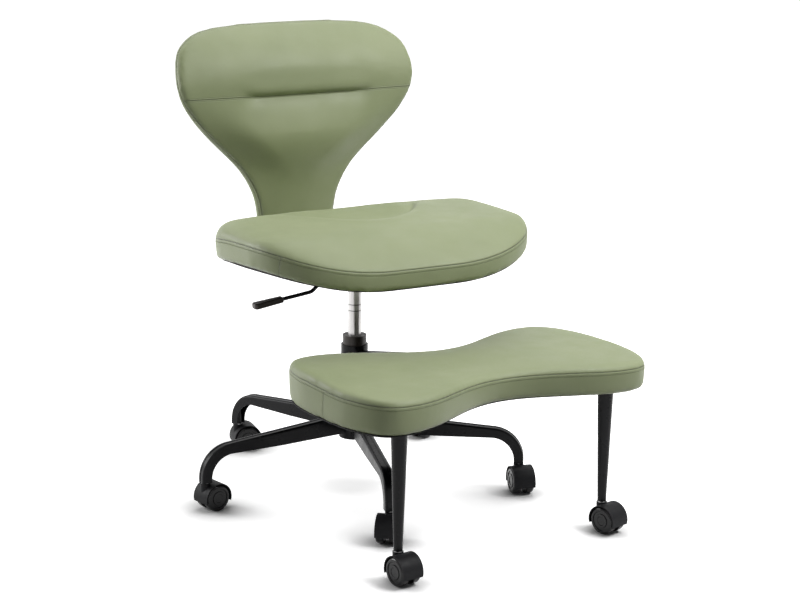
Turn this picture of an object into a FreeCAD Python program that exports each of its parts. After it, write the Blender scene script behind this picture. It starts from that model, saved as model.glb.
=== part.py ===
import FreeCAD, Part
import math
import os

from FreeCAD import Placement, Rotation, Vector

# A cross-legged office chair: a wide saddle seat and a mushroom-shaped back on a gas lift and a five-arm
# base, with a broad footrest cushion that swings round the column on two wheeled legs of its own.
# Millimetres, +Z up. The column's axis meets the floor at the origin, the sitter faces -Y, and the
# chair's left is +X.

# Fits
RUNNING_CLEARANCE = 0.05        # radial, on every pin, stem and tube that turns or slides
SOFT_GAP = 0.3                  # between a moving piece and what it only just clears

# Casters: twin wheels under a hood, on a plain stem
WHEEL_RADIUS = 28.0
WHEEL_WIDTH = 17.0
WHEEL_INNER_EDGE = 2.0
WHEEL_OUTER_EDGE = 6.0
WHEEL_RING_OUTER = 20.0         # the sunk ring in the wheel's face
WHEEL_RING_INNER = 14.0
WHEEL_RING_DEPTH = 1.6
WHEEL_CAP_RADIUS = 8.5
WHEEL_CAP_DEPTH = 1.0
WHEEL_CAP_WALL = 3.0
WHEEL_SIDE_GAP = 0.6
AXLE_RADIUS = 4.0
WEB_THICKNESS = 11.0
HOOD_GAP = 1.3
HOOD_WALL = 2.0
HOOD_SKIRT = 9.0                # how far the hood reaches below the axle
CASTER_TRAIL = 18.0             # from the stem's axis back to the axle
BOSS_RADIUS = 10.5
BOSS_RISE = 0.8
STEM_RADIUS = 5.5
STEM_LENGTH = 22.0
STEM_FLANGE_RADIUS = 9.0
STEM_FLANGE_HEIGHT = 1.5
STEM_TAIL_RADIUS = 4.0
STEM_TAIL_LENGTH = 18.0

# Five-arm base
ARM_COUNT = 5
BASE_TURN = 181.7               # degrees from +X to the first arm
STEM_CIRCLE_RADIUS = 350.0
SOCKET_RADIUS = 8.5
SOCKET_LENGTH = 40.0
ARM_WIDTH = 24.0
ARM_WALL = 2.0
ARM_EDGE = 5.0
ARM_RISE_AT_HUB = 100.0         # of the arm's top, above the casters
ARM_RISE_AT_BEND = 70.7
ARM_BEND_RADIUS = 68.0
ARM_END_DEPTH = 20.5
ARM_UNDER_RISE_AT_HUB = 59.0
ARM_UNDER_RISE_AT_BELLY = 55.0
ARM_BELLY_RADIUS = 172.0
ARM_INNER_BEND_RADIUS = 48.0
ARM_GROOVE_WIDTH = 8.0
ARM_GROOVE_DEPTH = 0.9
HUB_RADIUS = 32.0
HUB_RISE = 46.0                 # of the hub's underside, above the casters
HUB_LENGTH = 62.0

# Gas lift
TUBE_RADIUS = 25.0
TUBE_TAPER = 2.0                # how much the radius narrows over the hub's length
TUBE_WALL = 2.0
TUBE_LENGTH = 218.0
TUBE_FLOOR = 4.0
BUSH_LENGTH = 95.0
BUSH_LIP = 4.0
BEARING_INNER = 6.0
BEARING_OUTER = 13.0
BEARING_WASHER = 2.0
BEARING_BALL_RADIUS = 2.0
BEARING_BALLS = 8
ROD_RADIUS = 5.0
ROD_FLANGE_RADIUS = 11.0
ROD_FLANGE_HEIGHT = 3.0
ROD_TAIL = 7.0                  # below the tube's floor
ROD_STROKE_ROOM = 150.0         # from the rod's flange to the piston
PISTON_HEIGHT = 8.0
CLIP_THICKNESS = 1.5
CLIP_GROOVE = 1.0
CLIP_RADIUS = 9.0
CYLINDER_RADIUS = 14.0
CYLINDER_WALL = 3.0
CYLINDER_IN_TUBE = 115.0        # length inside the outer tube at this height
CYLINDER_END_WALL = 12.0
GROOVE_RISES = (57.0, 70.0)     # of the two ring grooves, above the outer tube
GROOVE_WIDTH = 1.6
GROOVE_DEPTH = 0.6
LIFT_OPEN = 103.0               # from the outer tube's top to the taper socket
SOCKET_TAPER_LENGTH = 22.0
SOCKET_TAPER = 0.6
PIN_RADIUS = 4.0
PIN_PROUD = 4.5
PIN_DEPTH = 19.0
PIN_DOME = 2.0

# Lever
LEVER_ROD_RADIUS = 4.0
LEVER_PIVOT_X = 38.0            # to the chair's right of the column
LEVER_PIVOT_RADIUS = 3.0
LEVER_TIP = 4.0                 # past the column's axis
LEVER_KNEE_X = 70.0
LEVER_ELBOW_X = 101.0
LEVER_ELBOW_DROP = 27.0
LEVER_END_X = 222.0
LEVER_END_DROP = 42.0
LEVER_BEND_RADIUS = 22.0
GRIP_LENGTH = 66.0
GRIP_WIDTH = 24.0
GRIP_NECK_WIDTH = 15.0
GRIP_THICKNESS = 12.0
GRIP_CORNER = 7.0
GRIP_EDGE = 2.5
GRIP_BORE_DEPTH = 54.0

# Lift plate under the seat
PLATE_THICKNESS = 3.0
PLATE_HALF_WIDTH = 75.0
PLATE_FRONT = -120.0
PLATE_REAR = 60.0
PLATE_CORNER = 14.0
HOUSING_HALF_LENGTH = 46.0
HOUSING_HALF_WIDTH = 32.0
HOUSING_WALL = 2.5
HOUSING_DEPTH = 36.0
LEVER_HEADROOM = 5.2
SOCKET_WALL = 6.0

# Bolts
BOLT_RADIUS = 3.0
BOLT_HOLE_PLAY = 0.3
BOLT_HEAD_RADIUS = 6.5
BOLT_HEAD_HEIGHT = 4.5
BOLT_GRIP = 9.0                 # length held in a board
PLATE_BOLT_X = 60.0
PLATE_BOLT_INSET = 20.0
BAR_BOLT_X = 14.0
BAR_BOLT_INSET = 18.0
BAR_BOLT_PITCH = 45.0
BACK_BOLT_RISES = (50.0, 85.0, 120.0)

# Seat: bent board, thin liner under it, and a cushion that wraps the board's edge
SEAT_TILT = 4.4                 # degrees, lower at the rear
SEAT_HALF_WIDTH = 312.0
SEAT_FRONT_DEPTH = 241.0
SEAT_REAR_DEPTH = 230.0
SEAT_CENTRE_Y = -65.0
SEAT_FRONT_POWER = 3.2          # roundness of the outline: 2 is an ellipse
SEAT_REAR_POWER = 2.6
SEAT_FLAT_HALF_WIDTH = 75.0     # flat middle of the bent board
SEAT_BEND_RADIUS = 551.0
SEAT_BAND = 39.0                # from the underside to the seam
SEAT_UNDERCUT = 7.5
SEAT_FRONT_TOP = 106.0          # height of the padding's top behind the front shoulder
SEAT_REAR_TOP = 120.0
SEAT_CROWN = 4.0
SEAT_FRONT_SLOPE = 50.0         # degrees, where the front shoulder leaves the seam
SEAT_REAR_SLOPE = 64.0
SEAT_SHOULDER_END = 6.0         # degrees, where a shoulder meets the crown
SEAT_END_ROUNDING = 48.0        # width over which the top falls to the seam at each side
SEAT_DISH_RADIUS = 560.0
SEAT_DISH_DEPTH = 10.0
SEAT_DISH_Y = 0.0
BOARD_THICKNESS = 12.0
BOARD_INSET = 22.0
LINER_THICKNESS = 1.0
LINER_INSET = 4.0

# Back: heights above the seat board's underside, and half widths there
BACK_FRONT_Y = 263.0            # plane of the front seam at the foot
BACK_LOWER_OUTLINE = ((3.0, 79.0), (30.0, 82.0), (70.0, 87.0), (105.0, 93.0), (135.0, 106.0),
                      (166.0, 126.0), (201.0, 159.0), (240.0, 200.0), (280.0, 237.0), (312.0, 259.5),
                      (333.0, 269.5))
BACK_UPPER_OUTLINE = ((333.0, 269.5), (350.0, 274.0), (378.0, 276.0), (410.0, 270.5), (430.0, 261.0),
                      (443.0, 247.0), (454.5, 229.0), (463.5, 206.0), (470.5, 167.0), (475.5, 108.0))
BACK_SECTIONS = 25              # in each pad, ruled from one to the next
BACK_CURVE_START = 150.0        # height up to which the back is upright
BACK_LUMBAR = 16.5              # how far the drawn-in seam stands forward
BACK_LEAN = 69.0                # how far the top leans back from that seam
BACK_LEAN_POWER = 1.9
BACK_CROWN = 14.0
BACK_SEAM_CROWN = 2.0
BACK_TOP_ROUNDING = 40.0        # height over which the top edge rounds off
BACK_TOP_DRAW = 11.0
BACK_BAND = 32.0                # depth of the side band
BACK_BAND_BULGE = 2.0
BACK_REAR_INSET = 10.0
BACK_REAR_CROWN = 8.0
BACK_BOARD_THICKNESS = 10.0
BACK_BOARD_SET_BACK = 12.0
BACK_BOARD_INSET = 16.0
BACK_BOARD_BOTTOM = 30.0
BACK_BOARD_TOP = 430.0
BAR_WIDTH = 50.0
BAR_THICKNESS = 8.0
BAR_BEND_RADIUS = 50.0
BAR_GAP = 5.0                   # behind the lift plate
BAR_TOP_RISE = 140.0

# Footrest: bracket, board, liner, cushion and two tapered legs
FOOTREST_TURN = 6.3             # degrees from straight ahead, towards the chair's left
FOOT_HALF_LENGTH = 350.0
FOOT_LOBE_X = 262.0
FOOT_LOBE_HALF_DEPTH = 177.0
FOOT_WAIST_HALF_DEPTH = 100.0
FOOT_END_POWER = 2.65
FOOT_CENTRE_Y = -389.0
FOOT_BAND = 47.0
FOOT_UNDERCUT = 5.0
FOOT_SHOULDER_RISE = 9.3
FOOT_SHOULDER_SLOPE = 58.0      # degrees
FOOT_SHOULDER_END = 2.0
FOOT_CROWN = 2.5
LEG_INSET = 99.0                # of a leg's axis, from the cushion's end
LEG_SET_BACK = 54.0             # of a leg's axis, from the lobe's front
LEG_LENGTH = 235.0
LEG_TOP_RADIUS = 16.0
LEG_FOOT_RADIUS = 8.75
LEG_WALL = 2.0
LEG_PLUG_LENGTH = 30.0
LEG_FLANGE_RADIUS = 32.0
BRACKET_THICKNESS = 3.0
SLEEVE_RADIUS = 28.5
SLEEVE_ABOVE_PLATE = 10.0
WASHER_THICKNESS = 4.0
WASHER_RADIUS = 31.0
BRACKET_APEX_Y = -22.0
BRACKET_WING_X = 240.0
BRACKET_WING_Y = -240.0
BRACKET_WING_DEPTH = 70.0
BRACKET_NOSE_X = 130.0
BRACKET_NOSE_Y = -425.0
BRACKET_CORNER = 22.0
SCREW_RADIUS = 2.0
SCREW_HOLE_PLAY = 0.2
SCREW_HEAD_RADIUS = 4.0
SCREW_HEAD_HEIGHT = 2.5
SCREW_GRIP = 9.0
LEG_SCREW_CIRCLE = 25.0
LEG_SCREWS = 4
BRACKET_SCREWS = ((-195.0, -275.0), (195.0, -275.0), (-95.0, -385.0), (95.0, -385.0))

# Where each caster's axle trails its stem, in degrees from +X
BASE_CASTER_TURNS = (11.5, -129.5, -104.5, 30.0, -9.5)
LEG_CASTER_TURNS = (-82.5, -74.5)

# Heights that follow from the pieces stacked on each other
HOOD_RADIUS = WHEEL_RADIUS + HOOD_GAP + HOOD_WALL
BOSS_TOP = WHEEL_RADIUS + HOOD_RADIUS + BOSS_RISE
CASTER_HEIGHT = BOSS_TOP + STEM_FLANGE_HEIGHT
HUB_BOTTOM = CASTER_HEIGHT + HUB_RISE
HUB_TOP = HUB_BOTTOM + HUB_LENGTH
TUBE_TOP = HUB_BOTTOM + TUBE_LENGTH
BEARING_BOTTOM = HUB_BOTTOM + TUBE_FLOOR
ROD_FLANGE_BOTTOM = BEARING_BOTTOM + 2 * BEARING_WASHER + 2 * BEARING_BALL_RADIUS
SOCKET_BOTTOM = TUBE_TOP + LIFT_OPEN
CYLINDER_TOP = SOCKET_BOTTOM + SOCKET_TAPER_LENGTH
CYLINDER_BOTTOM = TUBE_TOP - CYLINDER_IN_TUBE
PIN_TOP = CYLINDER_TOP + PIN_PROUD
LEVER_HEIGHT = PIN_TOP + SOFT_GAP + LEVER_ROD_RADIUS
SEAT_HEIGHT = LEVER_HEIGHT + LEVER_ROD_RADIUS + LEVER_HEADROOM + PLATE_THICKNESS + LINER_THICKNESS
LEG_TOP = CASTER_HEIGHT + LEG_LENGTH
BRACKET_TOP = LEG_TOP + BRACKET_THICKNESS
FOOT_BASE = BRACKET_TOP + LINER_THICKNESS

# Places that follow from the sizes
STEM_HOLE_RADIUS = STEM_RADIUS + RUNNING_CLEARANCE
ARM_END = STEM_CIRCLE_RADIUS + SOCKET_RADIUS + ARM_WALL
LEG_X = FOOT_HALF_LENGTH - LEG_INSET
LEG_Y = FOOT_CENTRE_Y - FOOT_LOBE_HALF_DEPTH + LEG_SET_BACK
BACK_BOARD_Y = BACK_FRONT_Y + BACK_BOARD_SET_BACK
BAR_FRONT_Y = BACK_BOARD_Y + BACK_BOARD_THICKNESS
BAR_Y = BAR_FRONT_Y + BAR_THICKNESS / 2
SEAT_PLACE = Placement(Vector(0, 0, SEAT_HEIGHT), Rotation(Vector(1, 0, 0), -SEAT_TILT))
FOOTREST_PLACE = Placement(Vector(), Rotation(Vector(0, 0, 1), FOOTREST_TURN))


def placed(shape, placement):
    """A copy of a shape, moved by a placement."""
    return shape.transformed(placement.toMatrix())


def rounded_wire(corners, to_space):
    """Closed wire through (u, v, radius) corners, each rounded by a tangent arc of its radius."""
    joints = []
    count = len(corners)
    for i in range(count):
        u, v, radius = corners[i]
        corner = to_space(u, v)
        if radius == 0:
            joints.append((corner, None, corner))
            continue
        before = (to_space(*corners[i - 1][:2]) - corner).normalize()
        after = (to_space(*corners[(i + 1) % count][:2]) - corner).normalize()
        half = before.getAngle(after) / 2
        inward = (before + after).normalize()
        run = radius / math.tan(half)
        middle = corner + inward * (radius / math.sin(half) - radius)
        joints.append((corner + before * run, middle, corner + after * run))
    edges = []
    for i in range(count):
        start, middle, end = joints[i]
        if middle is not None:
            edges.append(Part.Arc(start, middle, end).toShape())
        following = joints[(i + 1) % count][0]
        if end.distanceToPoint(following) > 1e-6:
            edges.append(Part.LineSegment(end, following).toShape())
    return Part.Wire(edges)


def rounded_block(corners, to_space, depth):
    """Solid drawn out from a rounded outline along the depth vector."""
    return Part.Face(rounded_wire(corners, to_space)).extrude(depth)


def rod_along(points, bend_radius, radius):
    """Round rod along straight runs joined by tangent arcs."""
    edges = []
    start = points[0]
    for i in range(1, len(points) - 1):
        corner = points[i]
        before = (points[i - 1] - corner).normalize()
        after = (points[i + 1] - corner).normalize()
        half = before.getAngle(after) / 2
        run = bend_radius / math.tan(half)
        inward = (before + after).normalize()
        middle = corner + inward * (bend_radius / math.sin(half) - bend_radius)
        edges.append(Part.LineSegment(start, corner + before * run).toShape())
        edges.append(Part.Arc(corner + before * run, middle, corner + after * run).toShape())
        start = corner + after * run
    edges.append(Part.LineSegment(start, points[-1]).toShape())
    section = Part.Wire(Part.makeCircle(radius, points[0], points[1] - points[0]))
    return Part.Wire(edges).makePipeShell([section], True, True)


def cylinder(radius, bottom, top, x=0.0, y=0.0):
    """Upright cylinder between two heights."""
    return Part.makeCylinder(radius, top - bottom, Vector(x, y, bottom))


def tube(outer, inner, bottom, top, x=0.0, y=0.0):
    """Upright tube between two heights."""
    return cylinder(outer, bottom, top, x, y).cut(cylinder(inner, bottom, top, x, y))


def plan(height):
    """Maps (x, y) to a point at a height."""
    return lambda x, y: Vector(x, y, height)


def smooth_slab(points, bottom, top):
    """Flat slab with a smooth closed outline through (x, y) points."""
    curve = Part.BSplineCurve()
    curve.interpolate([Vector(x, y, bottom) for x, y in points], PeriodicFlag=True)
    return Part.Face(Part.Wire(curve.toShape())).extrude(Vector(0, 0, top - bottom))


def inset_points(points, inset):
    """Closed outline, anticlockwise, moved inwards by the inset."""
    moved = []
    count = len(points)
    for i in range(count):
        along_x = points[(i + 1) % count][0] - points[i - 1][0]
        along_y = points[(i + 1) % count][1] - points[i - 1][1]
        length = math.hypot(along_x, along_y)
        moved.append((points[i][0] - inset * along_y / length, points[i][1] + inset * along_x / length))
    return moved


def shoulder_arc(rise, slope, end):
    """Reach, half-way reach and half-way rise of an arc between two slopes, given in degrees."""
    start = math.radians(slope)
    stop = math.radians(end)
    half_way = (start + stop) / 2
    radius = rise / (math.cos(stop) - math.cos(start))
    reach = radius * (math.sin(start) - math.sin(stop))
    mid_reach = radius * (math.sin(start) - math.sin(half_way))
    mid_rise = radius * (math.cos(half_way) - math.cos(start))
    return reach, mid_reach, mid_rise


def cushion_section(x, front, rear, base, band, undercut, rises, slopes, end, crown):
    """Upright slice of a cushion at x: undercut bands, two shoulders and a crown, all arcs."""
    seam = base + band
    below = base - undercut         # trimmed off later, level with the board's underside
    band_middle = (below + seam) / 2
    bulge = undercut / 3
    front_reach, front_mid_reach, front_mid_rise = shoulder_arc(rises[0], slopes[0], end)
    rear_reach, rear_mid_reach, rear_mid_rise = shoulder_arc(rises[1], slopes[1], end)

    def at(y, z):
        return Vector(x, y, z)

    front_foot = at(front + undercut, below)
    rear_foot = at(rear - undercut, below)
    front_top = at(front + front_reach, seam + rises[0])
    rear_top = at(rear - rear_reach, seam + rises[1])
    crown_top = (front_top + rear_top) / 2 + Vector(0, 0, crown)
    edges = [
        Part.LineSegment(front_foot, rear_foot),
        Part.Arc(rear_foot, at(rear - bulge, band_middle), at(rear, seam)),
        Part.Arc(at(rear, seam), at(rear - rear_mid_reach, seam + rear_mid_rise), rear_top),
        Part.Arc(rear_top, crown_top, front_top),
        Part.Arc(front_top, at(front + front_mid_reach, seam + front_mid_rise), at(front, seam)),
        Part.Arc(at(front, seam), at(front + bulge, band_middle), front_foot),
    ]
    return Part.Wire([edge.toShape() for edge in edges])


def bolt(radius, head_radius, head_height, length, sides):
    """Fastener with its head below z = 0 and its shank above; six sides make a hexagon head."""
    shank = cylinder(radius, 0, length)
    if sides == 6:
        turns = [math.radians(60 * i) for i in range(6)]
        corners = [(head_radius * math.cos(turn), head_radius * math.sin(turn), 0) for turn in turns]
        head = rounded_block(corners, plan(-head_height), Vector(0, 0, head_height))
    else:
        head = cylinder(head_radius, -head_height, 0)
    return shank.fuse(head).removeSplitter()


# Casters
def wheel_solid():
    """One wheel, turned about Y, from its inner face at y = 0 to its ringed outer face."""
    bore = AXLE_RADIUS + RUNNING_CLEARANCE
    face = WHEEL_WIDTH
    ring_floor = face - WHEEL_RING_DEPTH
    cap_floor = face - WHEEL_CAP_DEPTH
    slope = WHEEL_RING_DEPTH / 2
    profile = [
        (bore, 0, 0),
        (WHEEL_RADIUS, 0, WHEEL_INNER_EDGE),
        (WHEEL_RADIUS, face, WHEEL_OUTER_EDGE),
        (WHEEL_RING_OUTER, face, 0),
        (WHEEL_RING_OUTER - slope, ring_floor, 0),
        (WHEEL_RING_INNER + slope, ring_floor, 0),
        (WHEEL_RING_INNER, face, 0),
        (WHEEL_CAP_RADIUS + slope, face, 0),
        (WHEEL_CAP_RADIUS, cap_floor, 0),
        (0, cap_floor, 0),
        (0, cap_floor - WHEEL_CAP_WALL, 0),
        (bore, cap_floor - WHEEL_CAP_WALL, 0),
    ]
    outline = Part.Face(rounded_wire(profile, lambda radius, y: Vector(radius, y, 0)))
    return outline.revolve(Vector(), Vector(0, 1, 0), 360)


def caster_solids():
    """Hood, pins and two wheels of one caster, stem axis on the origin, trailing towards +X."""
    axle = Vector(CASTER_TRAIL, 0, WHEEL_RADIUS)
    wheel_inner = WEB_THICKNESS / 2 + WHEEL_SIDE_GAP
    half_width = wheel_inner + WHEEL_WIDTH
    across = Vector(0, 1, 0)
    hood = Part.makeCylinder(HOOD_RADIUS, 2 * half_width, axle - across * half_width, across)
    hood = hood.fuse(cylinder(BOSS_RADIUS, WHEEL_RADIUS, BOSS_TOP))
    for side in (1, -1):
        room_start = axle + across * (side * WEB_THICKNESS / 2)
        room = Part.makeCylinder(WHEEL_RADIUS + HOOD_GAP, 2 * half_width, room_start, across * side)
        hood = hood.cut(room)
    floor_room = Part.makeBox(8 * WHEEL_RADIUS, 8 * WHEEL_RADIUS, 2 * HOOD_RADIUS)
    skirt_height = WHEEL_RADIUS - HOOD_SKIRT
    floor_corner = Vector(-4 * WHEEL_RADIUS, -4 * WHEEL_RADIUS, skirt_height - 2 * HOOD_RADIUS)
    hood = hood.cut(floor_room.translated(floor_corner))
    axle_half = wheel_inner + WHEEL_WIDTH - WHEEL_CAP_DEPTH - WHEEL_CAP_WALL - SOFT_GAP
    axle_pin = Part.makeCylinder(AXLE_RADIUS, 2 * axle_half, axle - across * axle_half, across)
    stem = cylinder(STEM_TAIL_RADIUS, BOSS_TOP - STEM_TAIL_LENGTH, BOSS_TOP)
    stem = stem.fuse(cylinder(STEM_FLANGE_RADIUS, BOSS_TOP, CASTER_HEIGHT))
    stem = stem.fuse(cylinder(STEM_RADIUS, CASTER_HEIGHT, CASTER_HEIGHT + STEM_LENGTH)).removeSplitter()
    hood = hood.cut(axle_pin).cut(stem).removeSplitter()
    left = wheel_solid().translated(axle + across * wheel_inner)
    right = left.mirror(Vector(), across)
    pins = Part.makeCompound([stem, axle_pin])
    return {"hood": hood, "pins": pins, "wheel_left": left, "wheel_right": right}


# Base
def arm_space(inset, under):
    """Side profile of an arm, (radius, height), inset from its top; under gives the corners below."""
    top_at_hub = CASTER_HEIGHT + ARM_RISE_AT_HUB - inset
    top_at_end = CASTER_HEIGHT + ARM_RISE_AT_BEND - inset
    corners = [(0, top_at_hub, 0), (ARM_END - inset, top_at_end, ARM_BEND_RADIUS - inset)]
    return corners + under


def arm_block(corners, width):
    """Block of a side profile, centred on the radial plane towards +X."""
    return rounded_block(corners, lambda radius, z: Vector(radius, -width / 2, z), Vector(0, width, 0))


def arm_and_socket():
    """Pressed channel arm towards +X, open below and inwards, and the stem socket in its end."""
    inner_end = ARM_END - ARM_END_DEPTH
    belly = CASTER_HEIGHT + ARM_UNDER_RISE_AT_BELLY
    outer_under = [
        (ARM_END, CASTER_HEIGHT, 0),
        (inner_end, CASTER_HEIGHT, 0),
        (inner_end, belly, ARM_INNER_BEND_RADIUS),
        (ARM_BELLY_RADIUS, belly, 0),
        (0, CASTER_HEIGHT + ARM_UNDER_RISE_AT_HUB, 0),
    ]
    arm = arm_block(arm_space(0, outer_under), ARM_WIDTH)
    top_edges = []
    for edge in arm.Edges:
        middle = edge.valueAt((edge.FirstParameter + edge.LastParameter) / 2)
        along = edge.tangentAt((edge.FirstParameter + edge.LastParameter) / 2)
        above = middle.z > belly + ARM_EDGE or middle.x > ARM_END - ARM_WALL
        if above and abs(along.y) < 0.5 and middle.x > HUB_RADIUS:
            top_edges.append(edge)
    arm = arm.makeFillet(ARM_EDGE, top_edges)
    inner_under = [(ARM_END - ARM_WALL, 0, 0), (0, 0, 0)]
    channel = arm_block(arm_space(ARM_WALL, inner_under), ARM_WIDTH - 2 * ARM_WALL)
    groove_under = [(ARM_END - ARM_GROOVE_DEPTH, 0, 0), (0, 0, 0)]
    below_groove = arm_block(arm_space(ARM_GROOVE_DEPTH, groove_under), ARM_WIDTH)
    groove = arm_block(arm_space(0, outer_under), ARM_GROOVE_WIDTH).cut(below_groove)
    arm = arm.cut(channel).cut(groove).cut(cylinder(HUB_RADIUS, 0, SEAT_HEIGHT)).removeSplitter()
    socket_top = CASTER_HEIGHT + SOCKET_LENGTH
    socket = tube(SOCKET_RADIUS, STEM_HOLE_RADIUS, CASTER_HEIGHT, socket_top, STEM_CIRCLE_RADIUS)
    return arm, socket.common(channel)


def tube_taper(wall):
    """The tapered foot of the outer tube, or its inside where wall is the wall's thickness."""
    foot = TUBE_RADIUS - TUBE_TAPER - wall
    return Part.makeCone(foot, TUBE_RADIUS - wall, HUB_LENGTH, Vector(0, 0, HUB_BOTTOM))


def base_solids():
    """Hub, arms, sockets and the pieces of the column that stand still."""
    solids = {"base_hub": cylinder(HUB_RADIUS, HUB_BOTTOM, HUB_TOP).cut(tube_taper(0))}
    arm, socket = arm_and_socket()
    sockets = []
    for i in range(ARM_COUNT):
        turn = Placement(Vector(), Rotation(Vector(0, 0, 1), BASE_TURN + i * 360 / ARM_COUNT))
        solids["base_arm_%d" % (i + 1)] = placed(arm, turn)
        sockets.append(placed(socket, turn))
    solids["stem_sockets"] = Part.makeCompound(sockets)

    outside = tube_taper(0).fuse(cylinder(TUBE_RADIUS, HUB_TOP, TUBE_TOP)).removeSplitter()
    straight_inside = cylinder(TUBE_RADIUS - TUBE_WALL, HUB_TOP, TUBE_TOP)
    inside = tube_taper(TUBE_WALL).fuse(straight_inside).removeSplitter()
    inside = inside.cut(cylinder(TUBE_RADIUS, HUB_BOTTOM, BEARING_BOTTOM))
    rod_hole = cylinder(ROD_RADIUS + RUNNING_CLEARANCE, HUB_BOTTOM, BEARING_BOTTOM)
    solids["outer_tube"] = outside.cut(inside).cut(rod_hole)

    bush_bore = CYLINDER_RADIUS + RUNNING_CLEARANCE
    bush = tube(TUBE_RADIUS - TUBE_WALL, bush_bore, TUBE_TOP - BUSH_LENGTH, TUBE_TOP)
    lip = tube(TUBE_RADIUS, bush_bore, TUBE_TOP, TUBE_TOP + BUSH_LIP)
    solids["guide_bush"] = bush.fuse(lip).removeSplitter()

    upper_washer = BEARING_BOTTOM + BEARING_WASHER + 2 * BEARING_BALL_RADIUS
    bearing = [tube(BEARING_OUTER, BEARING_INNER, BEARING_BOTTOM, BEARING_BOTTOM + BEARING_WASHER)]
    bearing.append(tube(BEARING_OUTER, BEARING_INNER, upper_washer, upper_washer + BEARING_WASHER))
    ball_circle = (BEARING_INNER + BEARING_OUTER) / 2
    ball_height = BEARING_BOTTOM + BEARING_WASHER + BEARING_BALL_RADIUS
    for i in range(BEARING_BALLS):
        angle = 2 * math.pi * i / BEARING_BALLS
        centre = Vector(ball_circle * math.cos(angle), ball_circle * math.sin(angle), ball_height)
        bearing.append(Part.makeSphere(BEARING_BALL_RADIUS, centre))
    solids["thrust_bearing"] = Part.makeCompound(bearing)
    solids["sleeve_washer"] = tube(WASHER_RADIUS, TUBE_RADIUS, HUB_TOP, HUB_TOP + WASHER_THICKNESS)
    return solids


# Gas lift
def lift_solids():
    """Piston rod and clip, the chrome cylinder that slides over the rod, and its release pin."""
    flange_top = ROD_FLANGE_BOTTOM + ROD_FLANGE_HEIGHT
    piston_bottom = flange_top + ROD_STROKE_ROOM
    bore = CYLINDER_RADIUS - CYLINDER_WALL
    clip_top = HUB_BOTTOM - RUNNING_CLEARANCE
    clip_bottom = clip_top - CLIP_THICKNESS
    clip = tube(CLIP_RADIUS, ROD_RADIUS - CLIP_GROOVE, clip_bottom, clip_top)
    slot = Part.makeBox(CLIP_RADIUS, 2 * (ROD_RADIUS - CLIP_GROOVE), CLIP_THICKNESS)
    clip = clip.cut(slot.translated(Vector(0, CLIP_GROOVE - ROD_RADIUS, clip_bottom)))
    rod = cylinder(ROD_RADIUS, HUB_BOTTOM - ROD_TAIL, piston_bottom)
    rod = rod.cut(tube(2 * ROD_RADIUS, ROD_RADIUS - CLIP_GROOVE, clip_bottom, clip_top))
    rod = rod.fuse(cylinder(ROD_FLANGE_RADIUS, ROD_FLANGE_BOTTOM, flange_top))
    rod = rod.fuse(cylinder(bore - RUNNING_CLEARANCE, piston_bottom, piston_bottom + PISTON_HEIGHT))

    shell = cylinder(CYLINDER_RADIUS, CYLINDER_BOTTOM, SOCKET_BOTTOM)
    shell = shell.fuse(socket_cone(0))
    chamber_bottom = CYLINDER_BOTTOM + CYLINDER_END_WALL
    chamber_top = CYLINDER_TOP - CYLINDER_END_WALL
    shell = shell.cut(cylinder(bore, chamber_bottom, chamber_top))
    shell = shell.cut(cylinder(ROD_RADIUS + RUNNING_CLEARANCE, CYLINDER_BOTTOM, chamber_bottom))
    shell = shell.cut(cylinder(PIN_RADIUS + RUNNING_CLEARANCE, chamber_top, CYLINDER_TOP))
    for rise in GROOVE_RISES:
        bottom = TUBE_TOP + rise - GROOVE_WIDTH / 2
        groove_floor = CYLINDER_RADIUS - GROOVE_DEPTH
        shell = shell.cut(tube(2 * CYLINDER_RADIUS, groove_floor, bottom, bottom + GROOVE_WIDTH))

    pin = cylinder(PIN_RADIUS, CYLINDER_TOP - PIN_DEPTH, PIN_TOP)
    rim = [edge for edge in pin.Edges if abs(edge.CenterOfMass.z - PIN_TOP) < 1e-6]
    pin = pin.makeFillet(PIN_DOME, rim)
    return {"piston_rod": rod.removeSplitter(), "rod_clip": clip, "gas_cylinder": shell.removeSplitter(),
            "release_pin": pin}


def socket_cone(play):
    """The cylinder's tapered head, or with play the socket's bore round it."""
    head = CYLINDER_RADIUS - SOCKET_TAPER
    base = Vector(0, 0, SOCKET_BOTTOM)
    return Part.makeCone(CYLINDER_RADIUS + play, head + play, SOCKET_TAPER_LENGTH, base)


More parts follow.
